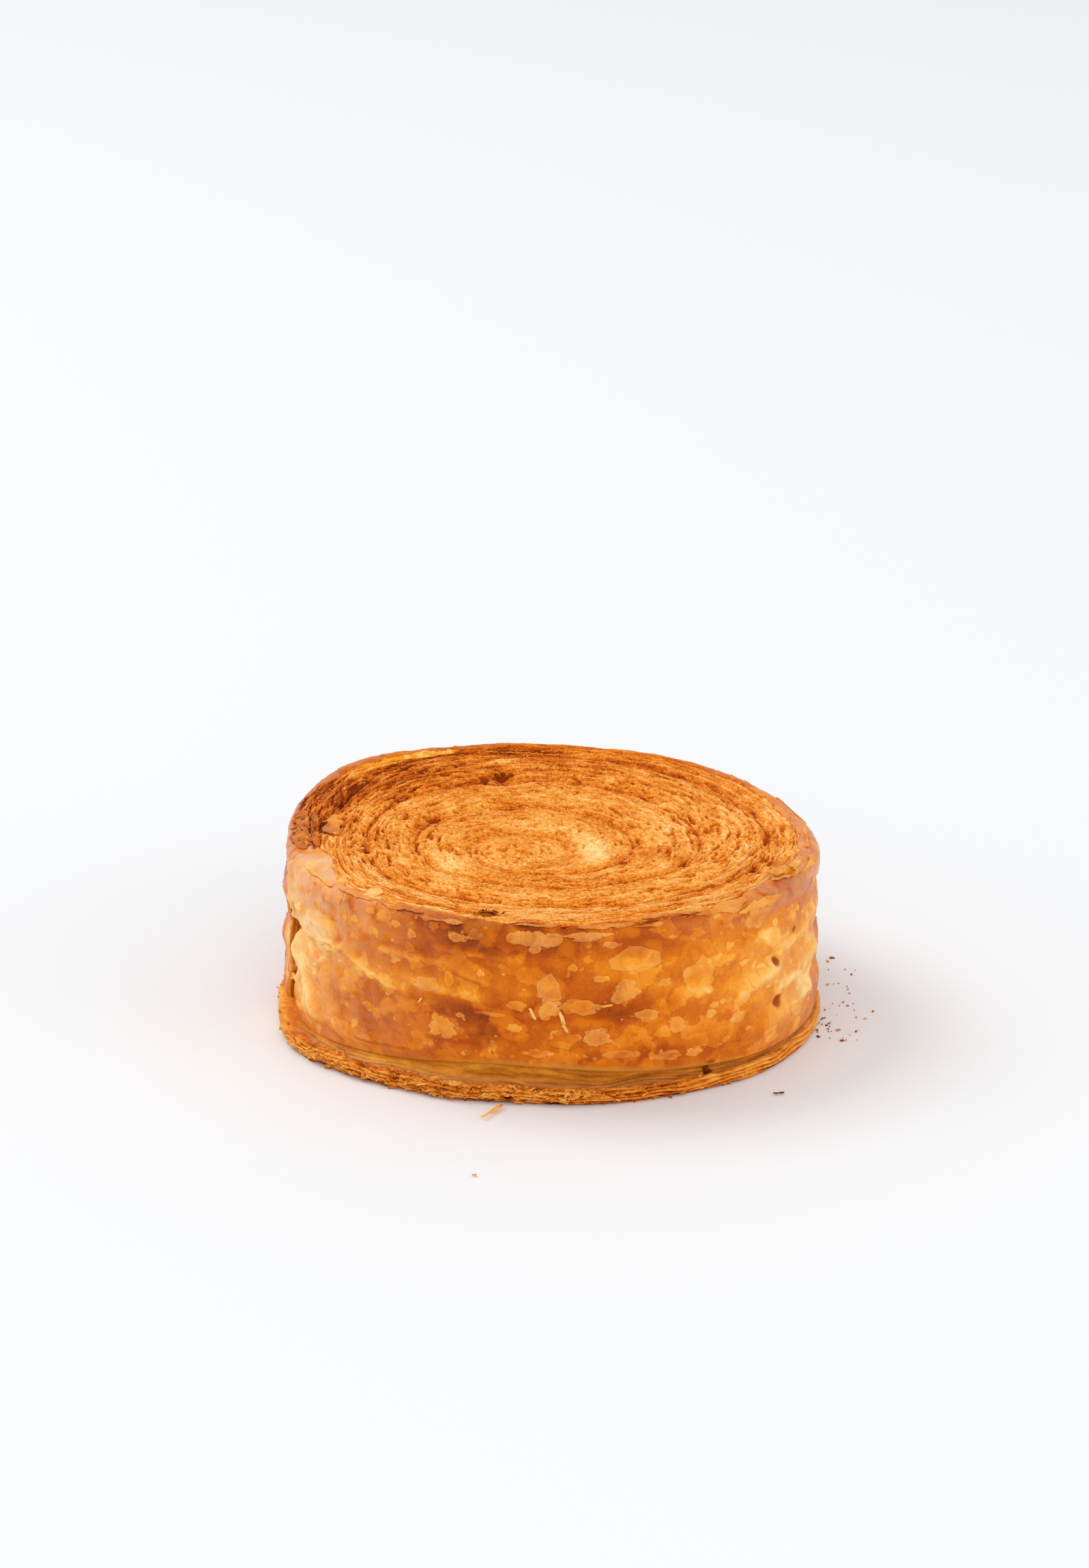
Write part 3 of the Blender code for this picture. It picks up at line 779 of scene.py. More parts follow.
def skin_relief(turn, run, places):
    """Lumps of noise in three sizes, wrinkles at the left, bells along the folds, and pits."""
    wander = grain(places, 4.0, 41)
    wrinkled = hump(turn, -150, 26) + 0.35 * hump(turn, 150, 60) + 0.2
    height = (0.34 * grain(places, (15, 15, 7), 42) + 0.17 * grain(places, (6, 6, 4), 43)
              + 0.30 * wrinkled * grain(places, (3.4, 3.4, 2.2), 44)
              + 0.12 * wrinkled * grain(places, (1.5, 1.5, 1.1), 53) + 0.04 * grain(places, 1.0, 45))
    peeled = grain(places, (8, 8, 5), 50) + 0.4 * grain(places, (2.6, 2.6, 2.0), 51)
    peeled = ease(peeled + 0.12 * grain(places, 0.9, 52), 0.16, 0.21)  # where the top film is left
    height = height + 0.10 * peeled
    # Paleness: where the top film is left, and along the folds, where it is partly painted highlight on
    # their ridges.
    peel_and_fold_highlight = 0.45 * peeled
    for line in FOLDS:
        away = (from_line(turn, run, line) + 0.5 * wander) / line[4]
        height = height + line[5] * (bell(away) - 0.35 * bell((away - 1.5) / 0.6))
        peel_and_fold_highlight = peel_and_fold_highlight + line[5] * bell(away)
    dark = 0.0
    for pit in PITS:
        away = from_spot(turn, run, pit) + 0.2 * wander
        height = height - 0.30 * (1 - ease(away, 0.3, 1.1)) + 0.12 * bell((away - 1.3) / 0.3)
        dark = dark + 0.95 * (1 - ease(away, 0.7, 1.25))
    for crack in SKIN_CRACKS:
        thin = bell((from_line(turn, run, crack) + 0.25 * wander) / 0.28)
        height = height - 0.35 * thin
        dark = dark + 0.5 * thin
    return height, peel_and_fold_highlight, dark


def skin_toast(turn, run, peel_and_fold_highlight):
    """The toasted patches, soft-edged ovals, plus paleness on the top film, and on the folds,
    where it is partly painted highlight on their ridges.
    """
    toast_and_shading = 0.68 - 0.36 * np.clip(peel_and_fold_highlight, 0, 0.9)
    for patch in TOASTED:
        toast_and_shading = toast_and_shading + 0.9 * patch[4] * np.exp(-1.2 * from_spot(turn, run, patch) ** 2)
    return toast_and_shading


def skin_lift(turn, run):
    """The skin's smooth places, the way it faces, how far its relief lifts it off them, how
    toasted it is, with painted highlight on its folds, and how dark its pits are."""
    places, facing = skin_at(turn, run)
    relief, peel_and_fold_highlight, dark = skin_relief(turn, run, places)
    lift = SKIN_THICK + relief * ease(run - crust_edge_height(turn), 0, 2.5)
    return places, facing, lift, skin_toast(turn, run, peel_and_fold_highlight), dark


CRUST_TONES = tones((0, 255, 212, 134), (0.18, 252, 180, 78), (0.36, 240, 146, 34),
                    (0.54, 216, 111, 10), (0.76, 182, 74, 2), (1, 126, 36, 0))


def crust_tone(start, places):
    """Toast from the mesh, with painted highlight on the folds, mottled by soft noise and by
    crisp-edged thinner layers of skin.
    """
    mottle = start.noise(places, 10.0, 2.0, 0.5, 0.3)
    small = start.noise(places, 3.4, 2.5, 0.5, 0.15)
    layer = start.noise(places, 5.0, 4.0, 0.5, 0.25)
    tone = start.field("toast_and_shading") + (mottle - 0.5) * 0.44 + (small - 0.5) * 0.32
    return tone - layer.between(0.55, 0.565) * 0.09 + layer.between(0.40, 0.385) * 0.05


def crust_look(start, places):
    """The tone's colour, amber where the wash lay thick, with pale films that are partly
    painted reflection, and dark pits.
    """
    olive, dark = start.field("olive"), start.field("dark")
    small = start.noise(places, 3.2, 3.0, 0.55, 0.4)
    fine = start.noise(places, 0.45, 2.0, 0.6)
    tone = crust_tone(start, places) + (fine - 0.5) * 0.22
    colour = start.add("ValToRGB", {"Fac": tone}, stops=CRUST_TONES)
    amber = start.noise(places, 5.0, 1.0).between(0.5, 0.72)
    colour = start.mix(amber * 0.5, colour, baked(224, 118, 2))
    warp = {0: start.noise(places, 1.2, 2.0), 1: 3 * (0.9 * MM,)}
    warp = {0: places, 1: start.add("VectorMath", warp, operation="MULTIPLY")}
    cells = {"Vector": start.add("VectorMath", warp, operation="ADD"), "Scale": 1 / (3.4 * MM)}
    flake = 1 - start.add("TexVoronoi", cells).between(0.19, 0.215)
    flake = flake * start.noise(places, 7.0).between(0.5, 0.56)
    colour = start.mix(flake * 0.5, colour, baked(226, 148, 62))
    # Pale greyish film: partly a thin film on the skin, partly painted reflection of the white surround on
    # the glossy skin.
    colour = start.mix(start.field("film_and_sheen") * small.between(0.3, 0.6), colour, baked(234, 178, 134))
    colour = start.mix(olive, colour, baked(196, 134, 50))
    colour = start.mix(dark, colour, baked(158, 62, 12))
    rough = 0.36 + flake * 0.16 + (small - 0.5) * 0.12 + olive * 0.08 + dark * 0.3
    height = fine * 0.8 + small * 0.8 + flake * 0.35
    return start.surface(colour, height, 0.32, 0.45, Roughness=rough)


crust_finish = finish_with("egg-washed crust", 0.4, 0.4, crust_look)


def crust_rows(turn, mend):
    """The skin row by row: over the rim, down the wall and in under its lower lip, then a rough
    inner wall and back up to the first row. Mend moves the skin out, where the halves lap."""
    corner, low = rim_height(turn), crust_edge_height(turn)
    over = np.linspace(1, 0, OVER_ROWS, endpoint=False)[:, None]
    down = np.linspace(0, 1, WALL_ROWS + 1)[:, None]
    run = corner + np.concatenate([(skin_end(turn) - corner) * over, (low - corner) * down])
    turns = np.broadcast_to(turn, run.shape)
    places, facing, lift, toast_and_shading, dark = skin_lift(turns, run)
    thin = np.ones((len(run), 1))
    thin[:3, 0] = (0.1, 0.6, 0.9)
    lift = np.maximum(lift * thin, -1.4) + mend * (1 - glued(run)) * (1 - facing[..., 2] ** 2)
    skin = places + facing * lift[..., None]
    olive = (1 - ease(run - low + 0.7 * grain(places, (6, 6, 3), 49), 0.2, 1.4)) * 0.8
    olive = olive * (0.05 + 0.95 * hump(turns, -88, 34))
    # Where the skin shows pale and greyish, at the upper left and along the rim: partly a thin film, partly
    # painted reflection.
    film_and_sheen = (0.6 * hump(turns, -160, 24) * ease(run, 22, 34) + 0.4 * hump(turns, -18, 30) * ease(run, 30, 35)
            + 0.24 * hump(turns, -148, 24) + 0.3 * hump(turns, 158, 16) * ease(run, 36, 40))
    crust = crust_foot_radius(turn)
    inside = [ring_at(crust - 0.25, low - 0.35, turn), ring_at(crust - 0.8, low - 0.5, turn),
              ring_at(crust - UNDERCUT, low - 0.2, turn), ring_at(crust - 4.5, low + 2, turn),
              ring_at(rim_radius(turn) - 5, TOP_HEIGHT - 8, turn), skin[0] - [0, 0, 1.2]]
    fields = {"toast_and_shading": toast_and_shading, "olive": olive, "dark": np.clip(dark, 0, 1), "film_and_sheen": film_and_sheen}
    fields = with_pad(fields, len(inside) * len(turn), 0.7, 0.85, 0, 0)
    return np.concatenate([skin, inside]), fields


def in_strips(flat, columns, cut, count, tall, apart):
    """A long band's flat picture, cut after this many columns into strips that lie one above
    the other. The last strip may be a column longer."""
    strip = np.minimum(np.floor(flat[:, :1, 0] * columns + 0.5) // cut, count - 1)
    spread = cut + 1 if columns > cut * count else cut
    beside = (flat[..., 0] * columns - strip * cut) / spread
    return np.stack([beside, flat[..., 1] * tall + strip * apart], -1)


def crust_part(name, turn, mend):
    """One half of the crust, its two ends closed by flat faces. On the flat picture it lies as
    two strips, one above the other, with its ends in a narrow band above them."""
    points, fields = crust_rows(turn, mend)
    count, columns = points.shape[:2]
    faces, flat = grid_faces(count, columns, close_rows=True)
    strips = in_strips(flat, columns - 1, (columns - 1) // 2, 2, 0.48, 0.485)
    ends = np.arange(count)
    caps = points[[ends[::-1], ends], [[0], [-1]]]
    beside = (caps[..., 2] + 3) / 100 + [[0], [0.5]]
    above = 0.972 + (np.hypot(caps[..., 0], caps[..., 1]) - 40) / 800
    caps = np.stack([ends[::-1] * columns, ends * columns + columns - 1])
    make_piece(name, points, [faces, caps], crust_finish, fields,
               [strips, np.stack([beside, above], -1)])


def front_crust():
    turn = np.linspace(TAIL_TURN - 2.5, CRUST_SPLIT, CRUST_COLUMNS)
    crust_part("front_crust", turn, (tail(turn) - TAIL_STEP) * (turn < TAIL_TURN + 2.5))


def back_crust():
    turn = np.linspace(CRUST_SPLIT, TAIL_TURN + 360 + TAIL_LAP, CRUST_COLUMNS)
    crust_part("back_crust", turn, tail(turn) * (turn > 180))


front_crust()
back_crust()

# ------------------------------------------------------------------------------------------
# Blistered flakes: the egg-washed skin puffed up in spots, dried pale and left as thin scales
# that lie on the crust, with crisp ragged edges.

# Seen at the front: turn, height up the skin, width, height of the flake, puff in mm
FLAKES = (
    (-90, 24.6, 4.9, 5.4, 0.22), (-74, 23.3, 5.0, 4.9, 0.20), (-57.5, 23.6, 7.6, 6.4, 0.25),
    (-126, 21.3, 4.6, 4.0, 0.45), (-116, 23.2, 5.4, 3.4, 0.40), (-42.5, 32.8, 5.2, 3.8, 0.12),
    (-80, 14, 5.4, 3.2, 0.12), (-63, 15, 3.6, 3.3, 0.20), (-69.5, 18, 4.6, 2.4, 0.12),
    (-83.5, 20.4, 6.8, 3.0, 0.10), (-90, 20, 4.0, 3.3, 0.10), (-96.5, 20.7, 4.0, 1.9, 0.12),
    (-65.7, 24.3, 2.6, 1.8, 0.12), (-113, 14.3, 5.4, 4.6, 0.10), (-87, 13.8, 5.0, 4.2, 0.08),
    (-72, 30, 11.0, 4.6, 0.12), (-58, 33.2, 2.8, 2.3, 0.12), (-92.7, 32.9, 2.4, 2.0, 0.12),
    (-102, 18.4, 6.0, 1.0, 0.10), (-122.8, 35.0, 2.2, 1.4, 0.15), (-102, 11.2, 2.0, 2.5, 0.10),
    (-136, 10.4, 2.2, 1.8, 0.25), (-59, 8.6, 3.4, 2.0, 0.12), (-65, 8.8, 5.6, 1.8, 0.10),
    (-38, 6.4, 4.5, 1.8, 0.10), (-24.6, 23.4, 4.0, 1.6, 0.12), (-104, 27.2, 1.4, 1.8, 0.12),
    (-99.5, 29, 1.6, 1.2, 0.10), (-111, 25.2, 2.0, 3.4, 0.12), (-50, 29, 2.2, 1.6, 0.10),
    (-30, 28.5, 1.8, 1.3, 0.10), (-54, 17.5, 2.4, 1.4, 0.10), (-44, 20.5, 1.6, 3.4, 0.12),
    (-33, 24.6, 5.6, 1.3, 0.12), (-22, 31, 1.6, 2.2, 0.10), (-131, 15.5, 2.6, 2.0, 0.20),
    (-105, 35.4, 2.6, 1.8, 0.15), (-109, 34.4, 3.4, 1.6, 0.12), (-114, 36.0, 2.4, 1.2, 0.15),
    (-120, 30.5, 2.0, 2.6, 0.15), (-128, 32, 1.6, 2.2, 0.15), (-134, 33.5, 2.4, 1.6, 0.2),
    (-97, 15.8, 3.0, 1.6, 0.08), (-75.5, 10.2, 7.0, 1.8, 0.08), (-92, 10.6, 5.0, 1.6, 0.08),
    (-48, 13.4, 4.4, 2.2, 0.10), (-28, 9.2, 5.4, 2.6, 0.12), (-18, 19.5, 2.2, 1.4, 0.10),
    (-85, 29.0, 2.0, 1.4, 0.08), (-79, 26.4, 3.0, 1.2, 0.08), (-67, 35.6, 3.2, 1.4, 0.10),
    (-133.4, 41.2, 3.6, 3.2, 0.25), (-144, 40.5, 2.0, 1.6, 0.2), (-131, 39.5, 3.0, 1.4, 0.15),
    (-139, 36.5, 1.4, 2.2, 0.2), (-137, 33.0, 1.2, 1.9, 0.2), (-124, 37.4, 1.8, 1.3, 0.2),
    (-129.5, 36.2, 2.4, 1.2, 0.2), (-119, 33.6, 1.8, 2.0, 0.2), (-146, 33.0, 1.3, 1.8, 0.15),
    (-77, 33.4, 2.6, 1.4, 0.12), (-82, 35.0, 5.0, 1.2, 0.10), (-46, 24.5, 2.2, 1.6, 0.10),
)
SMALL_FLAKES = 300
LOBES = 4  # smaller blisters that ran together with a large one
FLAKE_POINTS = 32
# Share of the radius of each ring of points, and 1 for the rings of the underside
FLAKE_RINGS = ((0.35, 0.0), (0.65, 0.0), (0.88, 0.0), (1.0, 0.0), (1.0, 1.0), (0.6, 1.0))


def back_flakes():
    """The larger flakes round the back, scattered by the same draws as in the solid."""
    draw = np.random.default_rng(12)
    draw.uniform(0.8, 1.1, (20, 8))
    rows = []
    for index in range(14):
        turn = 4 + (index + draw.uniform(0.2, 0.8)) * 180 / 14
        size = draw.uniform(3.4, 6.4)
        rows.append((turn, draw.uniform(11, 34), size, 0.75 * size, 0.2))
        draw.uniform(0.8, 1.1, 8)
    return rows


def with_lobes(rows):
    """Each flake, and round its edge a few smaller ones."""
    draw = np.random.default_rng(84)
    lobes = np.repeat(rows[rows[:, 2] > 2.5], LOBES, axis=0)
    way = draw.uniform(0, 2 * np.pi, len(lobes))
    reach = draw.uniform(0.65, 1.05, len(lobes)) / 2
    lobes[:, 0] += np.cos(way) * reach * lobes[:, 2] / TURN_TO_MM
    lobes[:, 1] += np.sin(way) * reach * lobes[:, 3]
    lobes[:, 2:4] *= draw.uniform(0.22, 0.55, (len(lobes), 1))
    lobes[:, 4] *= 0.3
    return np.concatenate([rows, lobes])


def small_flakes():
    draw = np.random.default_rng(77)
    turn = draw.uniform(-166, 194, SMALL_FLAKES)
    run = draw.uniform(8, 37, SMALL_FLAKES)
    width = 0.5 + 2.0 * draw.random(SMALL_FLAKES) ** 2.2
    height = width * draw.uniform(0.5, 1.0, SMALL_FLAKES)
    return np.stack([turn, run, width, height, 0 * turn + 0.07], -1)


def crust_at(turn, run):
    """Places on the finished crust, the way it faces there and how toasted it is, with
    painted highlight on its folds.
    """
    places, facing, lift, toast_and_shading, _ = skin_lift(turn, run)
    return places + facing * np.maximum(lift, -1.4)[..., None], facing, toast_and_shading


def flakes_on_skin(name, rows, ragged, seed, edge):
    """Each flake is rings of points round its middle, on the unrolled skin: a circle with
    three random waves and jitter in its radius, domed by puff * (1 - radius^2). Its underside
    is sunk in the crust."""
    draw = np.random.default_rng(seed)
    around = 2 * np.pi * np.arange(FLAKE_POINTS) / FLAKE_POINTS
    count = len(rows)
    radius = np.ones((count, FLAKE_POINTS))
    ragged = ragged * draw.uniform(0.5, 1.7, (count, 1))
    for waves, strength in ((2, 0.5), (3, 0.6), (5, 0.45), (8, 0.3)):
        size = ragged * strength * draw.uniform(0.3, 1.0, (count, 1))
        radius += size * np.cos(waves * around + draw.uniform(0, 2 * np.pi, (count, 1)))
    radius += 0.45 * ragged * draw.uniform(-1, 1, (count, FLAKE_POINTS))
    rings, under = np.array(FLAKE_RINGS).T[..., None]
    turn0, run0, width, tall, puff = rows.T[..., None, None]
    out = rings * np.maximum(radius, 0.35)[:, None]
    turn = turn0 + out * width / 2 / TURN_TO_MM * np.cos(around)
    run = np.maximum(run0 + out * tall / 2 * np.sin(around), crust_edge_height(turn) + 0.4)
    surface, facing, toast_and_shading = crust_at(turn, run)
    edge = edge * draw.uniform(0.5, 1.4, (count, 1, 1))
    lift = np.where(under > 0, -0.18, edge + puff * (1 - rings**2))
    middles, middle_out, middle_toast = crust_at(turn0[:, 0], run0[:, 0])
    on_top = middles + middle_out * (edge + puff)
    points = (surface + facing * lift[..., None]).reshape(count, -1, 3)
    points = np.concatenate([on_top, points, middles - 0.3 * middle_out], axis=1)
    groups = repeat_faces(closed_faces(len(rings), FLAKE_POINTS), points.shape[1], count)
    toast_and_shading = np.concatenate([middle_toast, toast_and_shading.reshape(count, -1), middle_toast], 1)
    shade = draw.uniform(-0.16, 0.08, (count, 1)) - 0.22 * (run0[:, 0] > 39)
    film_and_sheen = draw.uniform(0.05, 0.5, (count, 1)) * (1 - 0.5 * (width[:, 0] > 6))
    film_and_sheen = film_and_sheen * (0.6 + 0.8 * np.pad(np.repeat(rings[:, 0], FLAKE_POINTS), 1) ** 4)
    make_piece(name, points, groups, flake_finish, {"toast_and_shading": toast_and_shading + shade, "film_and_sheen": film_and_sheen})


def flake_look(start, places):
    """The crust's own tone under it, paler, half hidden by a dull tan, with fine speckle."""
    fine = start.noise(places, 0.6, 3.0, 0.6)
    coarse = start.noise(places, 2.5, 2.0)
    tone = crust_tone(start, places) * 0.82 + (fine - 0.5) * 0.2
    colour = start.add("ValToRGB", {"Fac": tone}, stops=CRUST_TONES)
    dry = start.mix(fine.between(0.3, 0.7), baked(222, 151, 74), baked(246, 189, 110))
    colour = start.mix(start.field("film_and_sheen") + (coarse - 0.5) * 0.6, colour, dry)
    return start.surface(colour, fine + coarse, 0.3, 0.3)


flake_finish = finish_with("dry flake", 0.48, 0.35, flake_look)
flakes_on_skin("blister_flakes", with_lobes(np.array([*FLAKES, *back_flakes()])), 0.2, 78, 0.10)
flakes_on_skin("small_flakes", small_flakes(), 0.24, 79, 0.06)

# ------------------------------------------------------------------------------------------
# Torn skin at the rim: where the skin was pulled off the top, thin ragged strips of it hang
# over the edge of the side, or curl up from it.

# Turn of both ends, height of the middle over the rim's foot, width, raggedness, lift and depth
# of its wrinkles, all in mm, and how much darker it is than the skin under it
TORN = (
    (-98.5, -87, 0.3, 2.6, 1.6, 0.28, 0.0, -0.06), (-90, -76.5, 0.9, 1.0, 1.0, 0.30, 0.0, -0.06),
    (-97, -88, 2.8, 0.9, 0.9, 0.35, 0.0, -0.05), (-84, -72, 2.4, 1.0, 0.9, 0.35, 0.0, -0.05),
    (-72.5, -66, 1.7, 0.8, 0.9, 0.50, 0.1, -0.08), (-70, -54, 3.3, 1.4, 0.9, 0.25, 0.1, -0.04),
    (-58, -44, 2.2, 1.9, 1.1, 0.25, 0.1, -0.07), (-47.5, -33, 0.6, 1.7, 1.3, 0.35, 0.1, -0.14),
    (-32.5, -20, 3.4, 2.2, 1.4, 0.6, 0.2, -0.30), (-24, -12.5, 1.7, 1.8, 1.3, 0.45, 0.1, -0.16),
    (-128, -117, 3.0, 1.0, 0.9, 0.25, 0.1, -0.05), (-118, -107, 2.2, 0.8, 0.9, 0.30, 0.0, -0.05),
    (-157, -143, 2.8, 1.3, 0.9, 0.25, 0.1, -0.08), (-141, -130, 3.0, 0.9, 0.9, 0.25, 0.1, -0.08),
    (-10, 2, 3.6, 1.3, 1.0, 0.20, 0.1, -0.05), (8, 26, 1.6, 1.2, 1.3, 0.12, 0.1, -0.05),
    (34, 52, 1.4, 1.4, 1.4, 0.12, 0.1, -0.05), (66, 84, 1.2, 1.2, 1.4, 0.12, 0.1, -0.05),
    (98, 120, 1.2, 1.4, 1.5, 0.12, 0.1, 0.06), (126, 146, 1.2, 1.6, 1.5, 0.15, 0.1, 0.06),
    (171, 193.5, 4.2, 3.4, 0.9, 0.02, 0.40, 0.20), (172, 193, 7.0, 2.2, 1.0, 0.25, 0.5, 0.16),
    (169, 184.5, 11.2, 3.6, 2.0, 0.10, 0.35, 0.02), (150, 163, 8.0, 1.6, 1.2, 0.30, 0.2, 0.1),
)
TORN_STEPS = 110
TORN_ROWS = 13
TORN_THICK = 0.13


def slab_faces(rows, columns, count, turned=False):
    """Faces of many thin slabs: two equal grids of points, a thickness apart, and the side
    round them. Turned is for grids whose quads face the other way."""
    size = rows * columns
    step = -1 if turned else 1
    first = grid_faces(rows, columns)[0][:, ::step]
    border = border_of(rows, columns)[::-step]
    after = np.roll(border, -1)
    side = np.stack([after, border, border + size, after + size], axis=1)
    return repeat_faces([np.concatenate([first, first[:, ::-1] + size, side])], 2 * size, count)


def torn_skin():
    """Each strip is a grid over turn and height on the skin. Its two edges are the middle plus
    and minus half the width, ragged by noise, and drawn together at its ends; its lower edge
    is lifted, and wrinkles are 1 - |noise|. A second grid a thickness below closes it."""
    first, last, middle, wide, ragged, lift, wrinkle, shade = np.array(TORN).T[..., None, None]
    along = np.linspace(0, 1, TORN_STEPS)
    across = np.linspace(0, 1, TORN_ROWS)[:, None]
    turn = first + (last - first) * along + 0 * across
    path = on_map(np.arange(len(TORN))[:, None, None] * 5.3, turn * TURN_TO_MM)
    slow = (grain(path, (1, 4.6, 1), 85) + 0.35 * grain(path, (1, 1.5, 1), 86)
            + 0.16 * grain(path, (1, 0.5, 1), 91))
    quick = grain(path + [0, 40, 0], (1, 2.6, 1), 87) + 0.4 * grain(path, (1, 0.7, 1), 88)
    parted = 0.75 * (wide < 2.15)  # a narrow strip is torn into shreds
    ends = np.clip(4 * along * (1 - along), 0, 1) ** 0.35
    ends = ends * (1 - parted + parted * ease(grain(path + [0, 90, 0], (1, 5.5, 1), 92), -0.35, 0.25))
    low = middle - (wide / 2 + ragged * np.maximum(slow, -0.3)) * ends
    high = middle + (wide / 2 + 0.5 * ragged * quick) * ends
    run = rim_height(turn) + np.maximum(high, low + 0.05) * across + low * (1 - across)
    surface, facing, toast_and_shading = crust_at(turn, run)
    curl = lift * (1 - across) ** 2 * (0.6 + 0.8 * grain(path, (1, 4.0, 1), 89)) + 0.10
    folded = 0.7 - 1.9 * np.abs(grain(surface, 3.2, 93)) + 0.6 * grain(surface, 1.2, 94)
    folded = folded + 0.35 * grain(surface, 0.6, 95)
    curl = np.maximum(curl + wrinkle * folded, 0.06)
    points = [surface + facing * (curl + off)[..., None] for off in (TORN_THICK, -0.1)]
    # Paler on the wrinkles' ridges and darker in their valleys: painted highlight and painted shade.
    toast_and_shading = toast_and_shading + shade + 0.15 * (1 - across) - 0.5 * wrinkle * folded
    film_and_sheen = 0.38 - 0.22 * (middle > 10) + 0.3 * grain(path, (1, 5, 1), 90) - 0.25 * (shade > 0.05)
    fields = {"toast_and_shading": np.stack([toast_and_shading, toast_and_shading], axis=1), "film_and_sheen": np.stack([film_and_sheen, film_and_sheen], axis=1)}
    make_piece("torn_skin", np.stack(points, axis=1), slab_faces(TORN_ROWS, TORN_STEPS, len(TORN), True),
               flake_finish, fields)


torn_skin()

# ------------------------------------------------------------------------------------------
# The crease under the crust: pale, half-baked sheets of dough that sagged out under the
# crust's lower edge, smooth and faintly see-through, olive where they stayed moist.

LAYERS = 4
LAYER_ROWS = 48
LAYER_COLUMNS = 1000
FOOT_HEIGHT = 3.5
FRINGE_HUMPS = ((-110, 9, 1.7), (-152, 9, 0.7), (-130, 12, 0.7), (-80, 14, 0.5))


def shelf_height(turn):
    """Height of the foot's shelf: lower at the right, and puffed up at the far left."""
    level = FOOT_HEIGHT - 0.7 * hump(turn, -25, 42)
    return np.minimum(level, crust_edge_height(turn) - 0.6) + 4.3 * hump(turn, -168, 7)


def foot_radius(turn):
    """The foot's edge: the solid's outline, and a little more where crumbs cling to it."""
    return FOOT_RADIUS + humps(turn, FOOT_HUMPS + FRINGE_HUMPS)


def under_layers():
    """A closed ring: up from the foot's shelf to behind the crust's lower edge, and back down
    inside. Each layer's front is a half round, sqrt(1 - (2t - 1)^2) at t of the way through it.
    The count of layers wanders along the turn, so they run into each other."""
    turn = np.linspace(-180, 180, LAYER_COLUMNS, endpoint=False)
    low = crust_edge_height(turn) + 0.5
    shelf = np.minimum(shelf_height(turn) - 0.6, low - 0.9)
    crust = crust_foot_radius(turn)
    share = np.linspace(0, 1, LAYER_ROWS)[:, None]
    height = shelf + (low - shelf) * share
    places = ring_at(54, height, turn)
    number = LAYERS * share + 1.8 * grain(places, (15, 15, 6), 81) + 0.5 * grain(places, (5, 5, 2.5), 82)
    front = np.sqrt(1 - (2 * (number - np.floor(number)) - 1) ** 2)
    merged = hump(turn, -85, 36)  # here the crust's edge and the layers are one
    slope = 0.85 * (foot_radius(turn) - 1.1 - crust) * (1 - share) ** 1.3
    radius = crust + 0.05 + slope - (1.1 - 0.9 * merged) * ease(share, 0.5, 1.0)
    radius = radius + 0.24 * (front - 0.7) + 0.25 * grain(places, (5, 5, 1.2), 96)
    inside = [ring_at(crust - 4, low, turn), ring_at(crust - 4, shelf - 0.2, turn)]
    # Darker between the layers' round fronts, and at the top under the crust's lower edge except where the
    # two merge: painted shade in the gaps and under the crust's lip.
    tone = 0.47 + 0.06 * np.sin(2.4 * np.floor(number)) + 0.15 * (1 - front) ** 2
    tone = tone + 0.22 * grain(places, (9, 9, 0.9), 112) + 0.4 * ease(share, 0.7, 1) * (1 - merged)
    tone = tone + 0.14 * hump(turn, -66, 40) - 0.12 * hump(turn, -125, 30)
    grey = np.clip((0.5 - share) * 2.2, 0, 1) * (0.3 + 0.7 * hump(turn, -135, 42))
    faces, flat = grid_faces(LAYER_ROWS + 2, LAYER_COLUMNS, True, True)
    picture = in_strips(flat, LAYER_COLUMNS, LAYER_COLUMNS // 3 + 1, 3, 0.97 / 3, 1 / 3)
    make_piece("under_layers", np.concatenate([ring_at(radius, height, turn), inside]),
               [faces[:, ::-1]], layer_finish,
               with_pad({"toast_and_shading": tone, "grey": grey}, 2 * LAYER_COLUMNS, 0.9, 0), [picture[:, ::-1]])


LAYER_TONES = tones((0, 242, 182, 84), (0.3, 218, 142, 36), (0.6, 182, 98, 8), (1, 104, 46, 2))


def layer_look(start, places):
    """Olive to straw by the mesh's tone and noise drawn out round the roll, greyer low down."""
    squashed = start.add("Mapping", {"Vector": places, "Scale": (1, 1, 3)})
    soft = start.noise(squashed, 3.0, 5.0, 0.65)
    fine = start.noise(places, 0.5, 2.0)
    tone = start.field("toast_and_shading") + (soft - 0.5) * 0.65 + (fine - 0.5) * 0.2 + 0.06
    colour = start.add("ValToRGB", {"Fac": tone}, stops=LAYER_TONES)
    colour = start.mix(start.field("grey") * 0.55, colour, baked(208, 152, 104))
    return start.surface(colour, soft + fine * 0.5, 0.3, 0.4)


layer_finish = finish_with("half-baked layer", 0.38, 0.4, layer_look)
under_layers()

# ------------------------------------------------------------------------------------------
# The foot: the strip's lower edge pressed out under the ring. It is a crumbly shelf of thin
# layers, browned below, where its colour also holds painted contact shade, with the crust's
# undercut crease above it.

FOOT_COLUMNS = 1100
SHELF_ROWS = 10
EDGE_ROWS = 24


